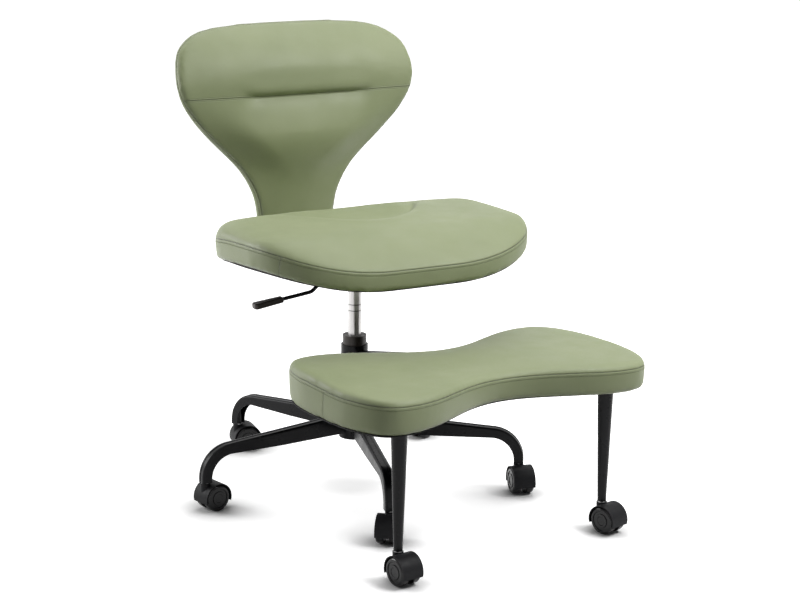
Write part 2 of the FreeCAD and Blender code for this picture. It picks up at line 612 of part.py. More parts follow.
# Lever
def lever_solids():
    """Bent rod with its cross pivot, and the paddle grip on the rod's end."""
    points = [
        Vector(LEVER_TIP, 0, LEVER_HEIGHT),
        Vector(-LEVER_KNEE_X, 0, LEVER_HEIGHT),
        Vector(-LEVER_ELBOW_X, 0, LEVER_HEIGHT - LEVER_ELBOW_DROP),
        Vector(-LEVER_END_X, 0, LEVER_HEIGHT - LEVER_END_DROP),
    ]
    rod = rod_along(points, LEVER_BEND_RADIUS, LEVER_ROD_RADIUS)
    pivot_start = Vector(-LEVER_PIVOT_X, -HOUSING_HALF_WIDTH, LEVER_HEIGHT)
    pivot = Part.makeCylinder(LEVER_PIVOT_RADIUS, 2 * HOUSING_HALF_WIDTH, pivot_start, Vector(0, 1, 0))
    rod = rod.fuse(pivot).removeSplitter()

    half = GRIP_WIDTH / 2
    neck = GRIP_NECK_WIDTH / 2
    corners = [
        (0, -neck, GRIP_EDGE),
        (GRIP_LENGTH, -half, GRIP_CORNER),
        (GRIP_LENGTH, half, GRIP_CORNER),
        (0, neck, GRIP_EDGE),
    ]
    grip = rounded_block(corners, plan(-GRIP_THICKNESS / 2), Vector(0, 0, GRIP_THICKNESS))
    flat_edges = [edge for edge in grip.Edges if abs(edge.tangentAt(edge.FirstParameter).z) < 0.5]
    grip = grip.makeFillet(GRIP_EDGE, flat_edges)
    run = points[3] - points[2]
    slope = Rotation(Vector(1, 0, 0), run)
    mouth = points[3] - run.normalize() * GRIP_BORE_DEPTH
    return {"lever_rod": rod, "lever_grip": placed(grip, Placement(mouth, slope)).cut(rod)}


# Seat
def seat_reach(x, depth, power):
    """How far the seat's outline runs fore or aft of its centre line at x."""
    share = min(abs(x) / SEAT_HALF_WIDTH, 1.0)
    return depth * (1 - share ** power) ** (1 / power)


def seat_outline(steps=32):
    """The seat's seam outline in plan, anticlockwise."""
    points = []
    halves = ((SEAT_REAR_DEPTH, SEAT_REAR_POWER, 1), (SEAT_FRONT_DEPTH, SEAT_FRONT_POWER, -1))
    for depth, power, sign in halves:
        for i in range(steps):
            angle = math.pi * i / steps
            across = math.cos(angle)
            x = sign * SEAT_HALF_WIDTH * math.copysign(abs(across) ** (2 / power), across)
            points.append((x, SEAT_CENTRE_Y + sign * depth * math.sin(angle) ** (2 / power)))
    return points


def seat_bend(x):
    """Height of the bent board's underside at x, above its flat middle."""
    past = max(abs(x) - SEAT_FLAT_HALF_WIDTH, 0)
    return SEAT_BEND_RADIUS - math.sqrt(SEAT_BEND_RADIUS ** 2 - past ** 2)


def bent_curve(offset, reach, y):
    """Edges of the board's bent line at a level, left to right, out to about the reach."""
    flat = SEAT_FLAT_HALF_WIDTH
    radius = SEAT_BEND_RADIUS - offset
    sweep = math.asin((reach - flat) / SEAT_BEND_RADIUS)

    def on_bend(side, share):
        angle = sweep * share
        height = SEAT_BEND_RADIUS - radius * math.cos(angle)
        return Vector(side * (flat + radius * math.sin(angle)), y, height)

    left = Part.Arc(on_bend(-1, 1), on_bend(-1, 0.5), on_bend(-1, 0)).toShape()
    middle = Part.LineSegment(on_bend(-1, 0), on_bend(1, 0)).toShape()
    right = Part.Arc(on_bend(1, 0), on_bend(1, 0.5), on_bend(1, 1)).toShape()
    return [left, middle, right], on_bend(-1, 1), on_bend(1, 1)


def bent_slab(low, high):
    """Slab between two levels of the bent board, wider and longer than the seat."""
    reach = SEAT_HALF_WIDTH * 1.1
    front = SEAT_CENTRE_Y - 1.1 * SEAT_FRONT_DEPTH
    lower, lower_left, lower_right = bent_curve(low, reach, front)
    upper, upper_left, upper_right = bent_curve(high, reach, front)
    ends = [Part.LineSegment(lower_right, upper_right).toShape(),
            Part.LineSegment(upper_left, lower_left).toShape()]
    face = Part.Face(Part.Wire(Part.__sortEdges__(lower + upper + ends)))
    return face.extrude(Vector(0, 1.1 * (SEAT_FRONT_DEPTH + SEAT_REAR_DEPTH), 0))


def seat_sheet(low, high, inset):
    """Piece of the bent slab inside the seat's outline, less an inset."""
    plan_block = smooth_slab(inset_points(seat_outline(), inset), -SEAT_BAND, 4 * SEAT_BAND)
    return bent_slab(low, high).common(plan_block)


def seat_top(x, middle_top):
    """Height of the padding's top at x: level, then rounded down to the seam at each side."""
    end_seam = seat_bend(SEAT_HALF_WIDTH) + SEAT_BAND
    past = max(0.0, (abs(x) - SEAT_HALF_WIDTH) / SEAT_END_ROUNDING + 1)
    return end_seam + (middle_top - end_seam) * math.sqrt(1 - min(past, 1.0) ** 2)


def seat_cushion_form():
    """Cushion with a level top over the bent board and a shallow dish, before trimming."""
    shares = (0.0, 0.25, 0.5, 0.7, 0.84, 0.92, 0.965, 0.99)
    stations = sorted({sign * share for share in shares for sign in (-1, 1)})
    sections = []
    for share in stations:
        x = share * SEAT_HALF_WIDTH
        front = SEAT_CENTRE_Y - seat_reach(x, SEAT_FRONT_DEPTH, SEAT_FRONT_POWER)
        rear = SEAT_CENTRE_Y + seat_reach(x, SEAT_REAR_DEPTH, SEAT_REAR_POWER)
        seam = seat_bend(x) + SEAT_BAND
        rises = (seat_top(x, SEAT_FRONT_TOP) - seam, seat_top(x, SEAT_REAR_TOP) - seam)
        sections.append(cushion_section(x, front, rear, seat_bend(x), SEAT_BAND, SEAT_UNDERCUT, rises,
                                        (SEAT_FRONT_SLOPE, SEAT_REAR_SLOPE), SEAT_SHOULDER_END,
                                        SEAT_CROWN * (1 - share ** 4)))
    form = Part.makeLoft(sections, True, False)
    top = (SEAT_FRONT_TOP + SEAT_REAR_TOP) / 2 + SEAT_CROWN
    dish_centre = Vector(0, SEAT_DISH_Y, top + SEAT_DISH_RADIUS - SEAT_DISH_DEPTH)
    return form.cut(Part.makeSphere(SEAT_DISH_RADIUS, dish_centre))


def plate_bolt_points():
    """Plan places of the bolts that hold the lift plate to the seat board."""
    rows = (PLATE_FRONT + PLATE_BOLT_INSET, PLATE_REAR - PLATE_BOLT_INSET)
    return [(side * PLATE_BOLT_X, y) for side in (-1, 1) for y in rows]


def bar_bolt_points():
    """Plan places of the bolts that hold the back bar to the seat board."""
    first = PLATE_REAR + BAR_GAP + BAR_BOLT_INSET
    return [(side * BAR_BOLT_X, first + row * BAR_BOLT_PITCH) for side in (-1, 1) for row in (0, 1)]


def back_bar_solid():
    """Flat bar bolted under the seat board, bent up behind the seat and into the back."""
    start = SEAT_PLACE.multVec(Vector(0, PLATE_REAR + BAR_GAP, -LINER_THICKNESS - BAR_THICKNESS / 2))
    fall = math.tan(math.radians(SEAT_TILT))
    corner = Vector(0, BAR_Y, start.z - fall * (BAR_Y - start.y))
    end = Vector(0, BAR_Y, SEAT_HEIGHT + BAR_TOP_RISE)
    before = (start - corner).normalize()
    after = (end - corner).normalize()
    half = before.getAngle(after) / 2
    run = BAR_BEND_RADIUS / math.tan(half)
    middle = corner + (before + after).normalize() * (BAR_BEND_RADIUS / math.sin(half) - BAR_BEND_RADIUS)
    path = Part.Wire([
        Part.LineSegment(start, corner + before * run).toShape(),
        Part.Arc(corner + before * run, middle, corner + after * run).toShape(),
        Part.LineSegment(corner + after * run, end).toShape(),
    ])
    upwards = SEAT_PLACE.Rotation.multVec(Vector(0, 0, BAR_THICKNESS / 2))
    aside = Vector(BAR_WIDTH / 2, 0, 0)
    ring = [start - aside - upwards, start + aside - upwards,
            start + aside + upwards, start - aside + upwards]
    section = Part.makePolygon(ring + ring[:1])
    return path.makePipeShell([section], True, False)


def back_curve(height):
    """How far the back stands behind its foot at a height: forward at the seam, leaning back above it."""
    seam = BACK_UPPER_OUTLINE[0][0]
    top = BACK_UPPER_OUTLINE[-1][0]
    share = min(max((height - BACK_CURVE_START) / (seam - BACK_CURVE_START), 0.0), 1.0)
    forward = BACK_LUMBAR * share ** 2 * (3 - 2 * share)
    return BACK_LEAN * max((height - seam) / (top - seam), 0.0) ** BACK_LEAN_POWER - forward


def back_section(height, half_width, crown, draw):
    """Level slice of the back: crowned front, bulged side bands and a slightly crowned rear."""
    front = BACK_FRONT_Y + back_curve(height) + draw
    rear = BACK_FRONT_Y + back_curve(height) + BACK_BAND - draw
    rear_half = half_width - BACK_REAR_INSET
    bulge = half_width + BACK_BAND_BULGE
    third = (2 * front + rear) / 3

    def at(x, y):
        return Vector(x, y, SEAT_HEIGHT + height)

    edges = [
        Part.Arc(at(-half_width, front), at(0, front - crown), at(half_width, front)),
        Part.Arc(at(half_width, front), at(bulge, third), at(rear_half, rear)),
        Part.Arc(at(rear_half, rear), at(0, rear + BACK_REAR_CROWN), at(-rear_half, rear)),
        Part.Arc(at(-rear_half, rear), at(-bulge, third), at(-half_width, front)),
    ]
    return Part.Wire([edge.toShape() for edge in edges])


def back_heights(outline, count):
    """Heights and half widths at even steps along a smooth line through an outline's points."""
    curve = Part.BSplineCurve()
    curve.interpolate([Vector(half_width, 0, height) for height, half_width in outline])
    return [(point.z, point.x) for point in curve.discretize(Number=count)]


def back_cushion_form():
    """Two padded panels that meet in the drawn-in seam across the back."""
    seam = BACK_UPPER_OUTLINE[0][0]
    foot = BACK_LOWER_OUTLINE[0][0]
    top = BACK_UPPER_OUTLINE[-1][0]
    lower = []
    for height, half_width in back_heights(BACK_LOWER_OUTLINE, BACK_SECTIONS):
        share = (seam - height) / (seam - foot)
        crown = BACK_SEAM_CROWN + (BACK_CROWN - BACK_SEAM_CROWN) * min(1.0, 4 * share)
        narrowing = min(1.0, half_width / BACK_UPPER_OUTLINE[0][1] + 0.2)
        lower.append(back_section(height, half_width, crown * narrowing, 0))
    upper = []
    for height, half_width in back_heights(BACK_UPPER_OUTLINE, BACK_SECTIONS):
        share = (height - seam) / (top - seam)
        swell = math.sin(math.pi * min(1.0, 1.1 * share))
        crown = BACK_SEAM_CROWN + (BACK_CROWN - BACK_SEAM_CROWN) * swell
        rounding = max(0.0, 1 - (top - height) / BACK_TOP_ROUNDING)
        draw = BACK_TOP_DRAW * (1 - math.sqrt(max(0.0, 1 - rounding ** 2)))
        upper.append(back_section(height, half_width, max(crown, BACK_SEAM_CROWN), draw))
    return Part.makeLoft(lower, True, True).fuse(Part.makeLoft(upper, True, True)).removeSplitter()


def back_board_solid():
    """Moulded plywood board that follows the back's curve, its sides inset from the cushion's."""
    outline = [point for point in BACK_LOWER_OUTLINE + BACK_UPPER_OUTLINE[1:]
               if BACK_BOARD_BOTTOM <= point[0] <= BACK_BOARD_TOP]
    widest = max(half for height, half in outline)
    front = BACK_BOARD_Y - BACK_LUMBAR - BACK_BOARD_THICKNESS
    depth = BACK_LUMBAR + BACK_LEAN + 3 * BACK_BOARD_THICKNESS

    def in_front(x, height):
        return Vector(x, front, SEAT_HEIGHT + height)

    sides = []
    for sign in (1, -1):
        curve = Part.BSplineCurve()
        curve.interpolate([in_front(sign * (half - BACK_BOARD_INSET), height) for height, half in outline])
        sides.append(curve)
    right, left = sides
    bottom = Part.LineSegment(left.StartPoint, right.StartPoint)
    top = Part.LineSegment(right.EndPoint, left.EndPoint)
    edges = [curve.toShape() for curve in (bottom, right, top, left)]
    blank = Part.Face(Part.Wire(Part.__sortEdges__(edges))).extrude(Vector(0, depth, 0))

    def beside(height):
        return Vector(-widest, BACK_BOARD_Y + back_curve(height), SEAT_HEIGHT + height)

    through = Vector(0, BACK_BOARD_THICKNESS, 0)
    rise = BACK_BOARD_TOP + BACK_BOARD_THICKNESS - BACK_CURVE_START
    bend = [beside(BACK_CURVE_START + rise * step / 12) for step in range(13)]
    curved = Part.BSplineCurve()
    curved.interpolate(Points=bend, InitialTangent=Vector(0, 0, 1), FinalTangent=bend[-1] - bend[-2])
    foot = beside(0)
    front_edges = [Part.LineSegment(foot, bend[0]).toShape(), curved.toShape()]
    rear_edges = [edge.translated(through) for edge in front_edges]
    ends = [Part.LineSegment(point, point + through).toShape() for point in (foot, bend[-1])]
    profile = Part.Face(Part.Wire(Part.__sortEdges__(front_edges + rear_edges + ends)))
    return blank.common(profile.extrude(Vector(2 * widest, 0, 0)))


def seat_solids():
    """Lift plate, seat, back and the bolts that hold them together."""
    under_liner = -LINER_THICKNESS
    plate_bottom = under_liner - PLATE_THICKNESS
    hole = BOLT_RADIUS + BOLT_HOLE_PLAY

    corners = [(-PLATE_HALF_WIDTH, PLATE_FRONT, PLATE_CORNER),
               (PLATE_HALF_WIDTH, PLATE_FRONT, PLATE_CORNER),
               (PLATE_HALF_WIDTH, PLATE_REAR, PLATE_CORNER),
               (-PLATE_HALF_WIDTH, PLATE_REAR, PLATE_CORNER)]
    plate = rounded_block(corners, plan(plate_bottom), Vector(0, 0, PLATE_THICKNESS))
    housing_size = (2 * HOUSING_HALF_LENGTH, 2 * HOUSING_HALF_WIDTH, HOUSING_DEPTH)
    housing_start = Vector(-HOUSING_HALF_LENGTH, -HOUSING_HALF_WIDTH, plate_bottom - HOUSING_DEPTH)
    housing = Part.makeBox(*housing_size).translated(housing_start)
    hollow_width = 2 * (HOUSING_HALF_WIDTH - HOUSING_WALL)
    hollow = Part.makeBox(2 * HOUSING_HALF_LENGTH, hollow_width, HOUSING_DEPTH - HOUSING_WALL)
    hollow_bottom = plate_bottom - HOUSING_DEPTH + HOUSING_WALL
    hollow_start = Vector(-HOUSING_HALF_LENGTH, -hollow_width / 2, hollow_bottom)
    plate = plate.fuse(housing.cut(hollow.translated(hollow_start)))

    bolts = []
    fastener_length = BOLT_GRIP + LINER_THICKNESS
    holes = []
    for x, y in plate_bolt_points():
        shank = fastener_length + PLATE_THICKNESS
        fastener = bolt(BOLT_RADIUS, BOLT_HEAD_RADIUS, BOLT_HEAD_HEIGHT, shank, 6)
        bolts.append(placed(fastener.translated(Vector(x, y, plate_bottom)), SEAT_PLACE))
        holes.append(cylinder(hole, plate_bottom - PLATE_THICKNESS, 0, x, y))
    bar_bottom = under_liner - BAR_THICKNESS
    for x, y in bar_bolt_points():
        shank = fastener_length + BAR_THICKNESS
        fastener = bolt(BOLT_RADIUS, BOLT_HEAD_RADIUS, BOLT_HEAD_HEIGHT, shank, 6)
        bolts.append(placed(fastener.translated(Vector(x, y, bar_bottom)), SEAT_PLACE))
        holes.append(cylinder(hole, bar_bottom - BAR_THICKNESS, 0, x, y))
    clear_holes = Part.makeCompound(holes)

    plate = placed(plate.cut(clear_holes), SEAT_PLACE)
    socket = cylinder(CYLINDER_RADIUS + SOCKET_WALL, SOCKET_BOTTOM, CYLINDER_TOP)
    plate = plate.fuse(socket).cut(socket_cone(RUNNING_CLEARANCE))
    pivot_start = Vector(-LEVER_PIVOT_X, -2 * HOUSING_HALF_WIDTH, LEVER_HEIGHT)
    pivot_radius = LEVER_PIVOT_RADIUS + RUNNING_CLEARANCE
    pivot_hole = Part.makeCylinder(pivot_radius, 4 * HOUSING_HALF_WIDTH, pivot_start, Vector(0, 1, 0))
    plate = plate.cut(pivot_hole)

    board = seat_sheet(0, BOARD_THICKNESS, BOARD_INSET)
    liner = seat_sheet(under_liner, 0, LINER_INSET + SEAT_UNDERCUT).cut(clear_holes)
    below = bent_slab(-2 * SEAT_BAND, 0)
    cushion = seat_cushion_form().cut(below).cut(board)

    whole_bar = back_bar_solid()
    bar = whole_bar.cut(placed(clear_holes, SEAT_PLACE))
    back_board = back_board_solid()
    for rise in BACK_BOLT_RISES:
        fastener = bolt(BOLT_RADIUS, BOLT_HEAD_RADIUS, BOLT_HEAD_HEIGHT, BAR_THICKNESS + BOLT_GRIP, 6)
        seat_of_head = Vector(0, BAR_FRONT_Y + BAR_THICKNESS, SEAT_HEIGHT + rise)
        forwards = Rotation(Vector(0, 0, 1), Vector(0, -1, 0))
        bolts.append(placed(fastener, Placement(seat_of_head, forwards)))
        drill_start = Vector(0, BAR_FRONT_Y, SEAT_HEIGHT + rise)
        bar = bar.cut(Part.makeCylinder(hole, BAR_THICKNESS, drill_start, Vector(0, 1, 0)))
    all_bolts = Part.makeCompound(bolts)
    back_cushion = back_cushion_form().cut(back_board).cut(whole_bar).cut(all_bolts)
    return {
        "lift_plate": plate.removeSplitter(),
        "seat_board": placed(board, SEAT_PLACE).cut(all_bolts),
        "seat_liner": placed(liner, SEAT_PLACE),
        "seat_cushion": placed(cushion, SEAT_PLACE),
        "back_bar": bar,
        "back_board": back_board.cut(all_bolts),
        "back_cushion": back_cushion,
        "frame_bolts": all_bolts,
    }


# Footrest
def foot_half_depth(x):
    """Half depth of the footrest's waisted outline at x."""
    past = (abs(x) - FOOT_LOBE_X) / (FOOT_HALF_LENGTH - FOOT_LOBE_X)
    if past > 0:
        return FOOT_LOBE_HALF_DEPTH * (1 - min(past, 1.0) ** FOOT_END_POWER) ** (1 / FOOT_END_POWER)
    swell = (1 - math.cos(math.pi * x / FOOT_LOBE_X)) / 2
    return FOOT_WAIST_HALF_DEPTH + (FOOT_LOBE_HALF_DEPTH - FOOT_WAIST_HALF_DEPTH) * swell


def foot_outline(waist_steps=14, end_steps=7):
    """The footrest's seam outline in plan, anticlockwise from the waist's front."""
    right = [FOOT_LOBE_X * i / waist_steps for i in range(waist_steps)]
    for i in range(end_steps):
        turn = math.pi / 2 * i / end_steps
        reach = math.sin(turn) ** (2 / FOOT_END_POWER)
        right.append(FOOT_LOBE_X + (FOOT_HALF_LENGTH - FOOT_LOBE_X) * reach)
    front_right = [(x, FOOT_CENTRE_Y - foot_half_depth(x)) for x in right]
    rear_right = [(x, FOOT_CENTRE_Y + foot_half_depth(x)) for x in reversed(right)]
    right_side = front_right + [(FOOT_HALF_LENGTH, FOOT_CENTRE_Y)] + rear_right
    left_side = [(-x, y) for x, y in reversed(right_side)]
    return right_side + left_side[1:-1]


def foot_cushion_form():
    """Waisted cushion with undercut bands and rounded shoulders, before trimming."""
    ends = FOOT_HALF_LENGTH - FOOT_LOBE_X
    reaches = [FOOT_LOBE_X * share for share in (0.0, 0.25, 0.5, 0.75, 1.0)]
    reaches += [FOOT_LOBE_X + ends * share for share in (0.45, 0.75, 0.93, 0.993)]
    sections = []
    for x in sorted({sign * reach for reach in reaches for sign in (-1, 1)}):
        half = foot_half_depth(x)
        share = min(1.0, half / FOOT_WAIST_HALF_DEPTH)
        rise = FOOT_SHOULDER_RISE * share
        front = FOOT_CENTRE_Y - half
        rear = FOOT_CENTRE_Y + half
        slopes = (FOOT_SHOULDER_SLOPE, FOOT_SHOULDER_SLOPE)
        sections.append(cushion_section(x, front, rear, FOOT_BASE, FOOT_BAND, FOOT_UNDERCUT,
                                        (rise, rise), slopes, FOOT_SHOULDER_END, FOOT_CROWN * share))
    return Part.makeLoft(sections, True, False)


def leg_solid(x):
    """Tapered tube with a plugged foot for the caster's stem and a flange at its top."""
    foot = Vector(x, LEG_Y, CASTER_HEIGHT)
    leg = Part.makeCone(LEG_FOOT_RADIUS, LEG_TOP_RADIUS, LEG_LENGTH, foot)
    plug_share = LEG_PLUG_LENGTH / LEG_LENGTH
    plug_radius = LEG_FOOT_RADIUS + (LEG_TOP_RADIUS - LEG_FOOT_RADIUS) * plug_share
    hollow_start = foot + Vector(0, 0, LEG_PLUG_LENGTH)
    hollow_length = LEG_LENGTH - LEG_PLUG_LENGTH
    hollow = Part.makeCone(plug_radius - LEG_WALL, LEG_TOP_RADIUS - LEG_WALL, hollow_length, hollow_start)
    stem_room = CASTER_HEIGHT + STEM_LENGTH + SOFT_GAP
    stem_hole = cylinder(STEM_HOLE_RADIUS, CASTER_HEIGHT, stem_room, x, LEG_Y)
    flange = cylinder(LEG_FLANGE_RADIUS, LEG_TOP, BRACKET_TOP, x, LEG_Y)
    return leg.cut(hollow).cut(stem_hole).fuse(flange).removeSplitter()


def footrest_solids():
    """Bracket, board, liner, cushion, legs and screws, straight ahead of the column."""
    wing_front = BRACKET_WING_Y - BRACKET_WING_DEPTH
    right = [(BRACKET_WING_X, BRACKET_WING_Y),
             (BRACKET_WING_X, wing_front),
             (BRACKET_NOSE_X, BRACKET_NOSE_Y)]
    left = [(-x, y) for x, y in right]
    corners = [(0, BRACKET_APEX_Y, 0)] + [(x, y, BRACKET_CORNER) for x, y in left + right[::-1]]
    bracket = rounded_block(corners, plan(LEG_TOP), Vector(0, 0, BRACKET_THICKNESS))
    sleeve_bottom = HUB_TOP + WASHER_THICKNESS
    sleeve_top = BRACKET_TOP + SLEEVE_ABOVE_PLATE
    bracket = bracket.fuse(cylinder(SLEEVE_RADIUS, sleeve_bottom, sleeve_top))
    bracket = bracket.cut(cylinder(TUBE_RADIUS + RUNNING_CLEARANCE, sleeve_bottom, sleeve_top))

    places = list(BRACKET_SCREWS)
    for side in (-1, 1):
        for i in range(LEG_SCREWS):
            angle = 2 * math.pi * (i + 0.5) / LEG_SCREWS
            across = side * LEG_X + LEG_SCREW_CIRCLE * math.cos(angle)
            along = LEG_Y + LEG_SCREW_CIRCLE * math.sin(angle)
            places.append((across, along))
    length = BRACKET_THICKNESS + LINER_THICKNESS + SCREW_GRIP
    screw = bolt(SCREW_RADIUS, SCREW_HEAD_RADIUS, SCREW_HEAD_HEIGHT, length, 0)
    screws = Part.makeCompound([screw.translated(Vector(x, y, LEG_TOP)) for x, y in places])
    hole = SCREW_RADIUS + SCREW_HOLE_PLAY
    holes = Part.makeCompound([cylinder(hole, LEG_TOP, FOOT_BASE, x, y) for x, y in places])

    outline = foot_outline()
    board = smooth_slab(inset_points(outline, BOARD_INSET), FOOT_BASE, FOOT_BASE + BOARD_THICKNESS)
    liner = smooth_slab(inset_points(outline, LINER_INSET + FOOT_UNDERCUT), BRACKET_TOP, FOOT_BASE)
    below = Part.makeBox(4 * FOOT_HALF_LENGTH, 4 * FOOT_HALF_LENGTH, FOOT_BASE)
    below = below.translated(Vector(-2 * FOOT_HALF_LENGTH, FOOT_CENTRE_Y - 2 * FOOT_HALF_LENGTH, 0))
    cushion = foot_cushion_form().cut(below).cut(board)
    solids = {
        "footrest_bracket": bracket.cut(holes).removeSplitter(),
        "footrest_board": board.cut(screws),
        "footrest_liner": liner.cut(holes),
        "footrest_cushion": cushion,
        "footrest_leg_right": leg_solid(-LEG_X).cut(holes),
        "footrest_leg_left": leg_solid(LEG_X).cut(holes),
        "footrest_screws": screws,
    }
    return {name: placed(solid, FOOTREST_PLACE) for name, solid in solids.items()}


def caster_places():
    """Stem position and trail direction of every caster: base arms first, then the footrest's legs."""
    places = []
    for i in range(ARM_COUNT):
        angle = math.radians(BASE_TURN + i * 360 / ARM_COUNT)
        stem = Vector(STEM_CIRCLE_RADIUS * math.cos(angle), STEM_CIRCLE_RADIUS * math.sin(angle), 0)
        places.append((stem, BASE_CASTER_TURNS[i % len(BASE_CASTER_TURNS)]))
    for side, turn in zip((-1, 1), LEG_CASTER_TURNS):
        places.append((FOOTREST_PLACE.multVec(Vector(side * LEG_X, LEG_Y, 0)), turn))
    return places


nodes = {}
nodes.update(base_solids())
nodes.update(lift_solids())
nodes.update(lever_solids())
nodes.update(seat_solids())
nodes.update(footrest_solids())
caster = caster_solids()
for number, (stem, turn) in enumerate(caster_places(), 1):
    spot = Placement(stem, Rotation(Vector(0, 0, 1), turn))
    for piece, solid in caster.items():
        nodes["caster_%d_%s" % (number, piece)] = placed(solid, spot)

os.makedirs("parts", exist_ok=True)
for name, shape in nodes.items():
    shape.exportStep("parts/%s.step" % name)
print(len(nodes), "nodes")
for name, shape in nodes.items():
    if not shape.isValid() or any(solid.Volume <= 0 for solid in shape.Solids):
        print("check the solid of", name)
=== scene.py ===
import math

import bpy
import numpy as np
from mathutils import Matrix, Vector
from mathutils.bvhtree import BVHTree
from mathutils.kdtree import KDTree


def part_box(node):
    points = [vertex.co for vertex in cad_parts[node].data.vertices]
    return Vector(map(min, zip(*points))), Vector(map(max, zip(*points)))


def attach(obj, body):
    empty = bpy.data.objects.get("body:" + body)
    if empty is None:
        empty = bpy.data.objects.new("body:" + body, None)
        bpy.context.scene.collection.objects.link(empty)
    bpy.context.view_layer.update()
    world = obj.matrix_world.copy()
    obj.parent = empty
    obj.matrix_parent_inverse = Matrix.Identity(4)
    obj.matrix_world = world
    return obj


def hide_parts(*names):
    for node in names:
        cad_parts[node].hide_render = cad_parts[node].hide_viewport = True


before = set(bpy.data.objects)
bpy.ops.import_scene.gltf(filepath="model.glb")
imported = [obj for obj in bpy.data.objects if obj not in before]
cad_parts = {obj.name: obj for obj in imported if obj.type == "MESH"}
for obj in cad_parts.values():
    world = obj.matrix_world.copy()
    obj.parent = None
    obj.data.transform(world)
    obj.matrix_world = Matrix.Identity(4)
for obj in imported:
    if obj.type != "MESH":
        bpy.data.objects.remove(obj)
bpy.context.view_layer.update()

bpy.ops.object.select_all(action="DESELECT")
scene = bpy.context.scene
scene.view_settings.view_transform = "Standard"

# Camera: a long lens a little above the seat, to the right of straight ahead, as in the photograph.
# The frame is 800 by 600.
turn = math.radians(-29.5)
rise = math.radians(13.869)
lean = math.radians(0.626)
towards_camera = Vector((math.sin(turn) * math.cos(rise), -math.cos(turn) * math.cos(rise), math.sin(rise)))
aside = Vector((math.cos(turn), math.sin(turn), 0.0))
upwards = towards_camera.cross(aside)
aim_aside = 0.09449
aim_height = 0.40445
camera_distance = 4.38766
looked_at = aim_aside * aside + Vector((0.0, 0.0, aim_height))
stand = looked_at + camera_distance * towards_camera
frame_right = math.cos(lean) * aside + math.sin(lean) * upwards
frame_up = math.cos(lean) * upwards - math.sin(lean) * aside
bpy.ops.object.camera_add()
camera = bpy.context.object
camera.data.sensor_width = 36.0
camera.data.lens = 94.5
camera.data.clip_end = 200.0
camera.matrix_world = Matrix((frame_right, frame_up, towards_camera)).transposed().to_4x4()
camera.matrix_world.translation = stand
scene.camera = camera

# Studio: a pale floor that runs out of view and keeps the chair's shadow, with painted shadows at the
# foot of the casters and painted shade near the chair in its glow, a white surround for what mirrors it,
# one soft lamp overhead, one on each side and a weak one beside the camera.
bpy.ops.mesh.primitive_plane_add(size=80.0)
floor = bpy.context.object
floor.name = "floor"
floor_paint = bpy.data.materials.new("pale_floor")
floor_paint.use_nodes = True
tree = floor_paint.node_tree
shader = tree.nodes["Principled BSDF"]
shader.inputs["Roughness"].default_value = 0.9
shader.inputs["Specular IOR Level"].default_value = 0.0
shader.inputs["Emission Color"].default_value = (1.0, 1.0, 1.0, 1.0)


def seen_directly(tree):
    """1 for what the camera, a mirror or glass sees, and 0 for light that only falls on things."""
    path = tree.nodes.new("ShaderNodeLightPath")
    direct = path.outputs["Is Camera Ray"]
    for ray in ("Is Glossy Ray", "Is Transmission Ray"):
        either = tree.nodes.new("ShaderNodeMath")
        either.operation = "MAXIMUM"
        tree.links.new(direct, either.inputs[0])
        tree.links.new(path.outputs[ray], either.inputs[1])
        direct = either.outputs["Value"]
    return direct


direct = seen_directly(tree)
paleness = tree.nodes.new("ShaderNodeMapRange")
paleness.inputs["To Min"].default_value = 0.24
paleness.inputs["To Max"].default_value = 0.93
tree.links.new(direct, paleness.inputs["Value"])
tree.links.new(paleness.outputs["Result"], shader.inputs["Base Color"])
place = tree.nodes.new("ShaderNodeTexCoord")
from_chair = tree.nodes.new("ShaderNodeVectorMath")
from_chair.operation = "LENGTH"
tree.links.new(place.outputs["Object"], from_chair.inputs[0])
# Painted shade: the floor's glow is a little lower within a couple of metres of the chair, so the chair's
# real shadow shows there.
painted_shade_near_chair = tree.nodes.new("ShaderNodeMapRange")
painted_shade_near_chair.interpolation_type = "SMOOTHSTEP"
painted_shade_near_chair.inputs["From Min"].default_value = 0.5
painted_shade_near_chair.inputs["From Max"].default_value = 2.6
painted_shade_near_chair.inputs["To Min"].default_value = 0.88
painted_shade_near_chair.inputs["To Max"].default_value = 1.0
tree.links.new(from_chair.outputs["Value"], painted_shade_near_chair.inputs["Value"])
# Painted shadow: the floor's glow fades where the casters and arm ends stand close by, most on the side away
# from the right lamp, as their shadows would fall.
near_wheels = tree.nodes.new("ShaderNodeAmbientOcclusion")
near_wheels.samples = 24
near_wheels.inputs["Distance"].default_value = 0.13
near_wheels.inputs["Normal"].default_value = (0.88 * aside.x, 0.88 * aside.y, 0.48)
painted_contact_shadow = tree.nodes.new("ShaderNodeMath")
painted_contact_shadow.operation = "POWER"
painted_contact_shadow.inputs[1].default_value = 5.0
tree.links.new(near_wheels.outputs["AO"], painted_contact_shadow.inputs[0])
lift = direct
for share in (painted_shade_near_chair.outputs["Result"], painted_contact_shadow.outputs["Value"]):
    times = tree.nodes.new("ShaderNodeMath")
    times.operation = "MULTIPLY"
    tree.links.new(lift, times.inputs[0])
    tree.links.new(share, times.inputs[1])
    lift = times.outputs["Value"]
tree.links.new(lift, shader.inputs["Emission Strength"])
floor.data.materials.append(floor_paint)

world = bpy.data.worlds.new("studio")
scene.world = world
world.use_nodes = True
tree = world.node_tree
surround = tree.nodes["Background"]
level = tree.nodes.new("ShaderNodeMapRange")
level.inputs["To Min"].default_value = 0.055
level.inputs["To Max"].default_value = 1.0
tree.links.new(seen_directly(tree), level.inputs["Value"])
tree.links.new(level.outputs["Result"], surround.inputs["Strength"])
surround.inputs["Color"].default_value = (1.0, 1.0, 1.0, 1.0)

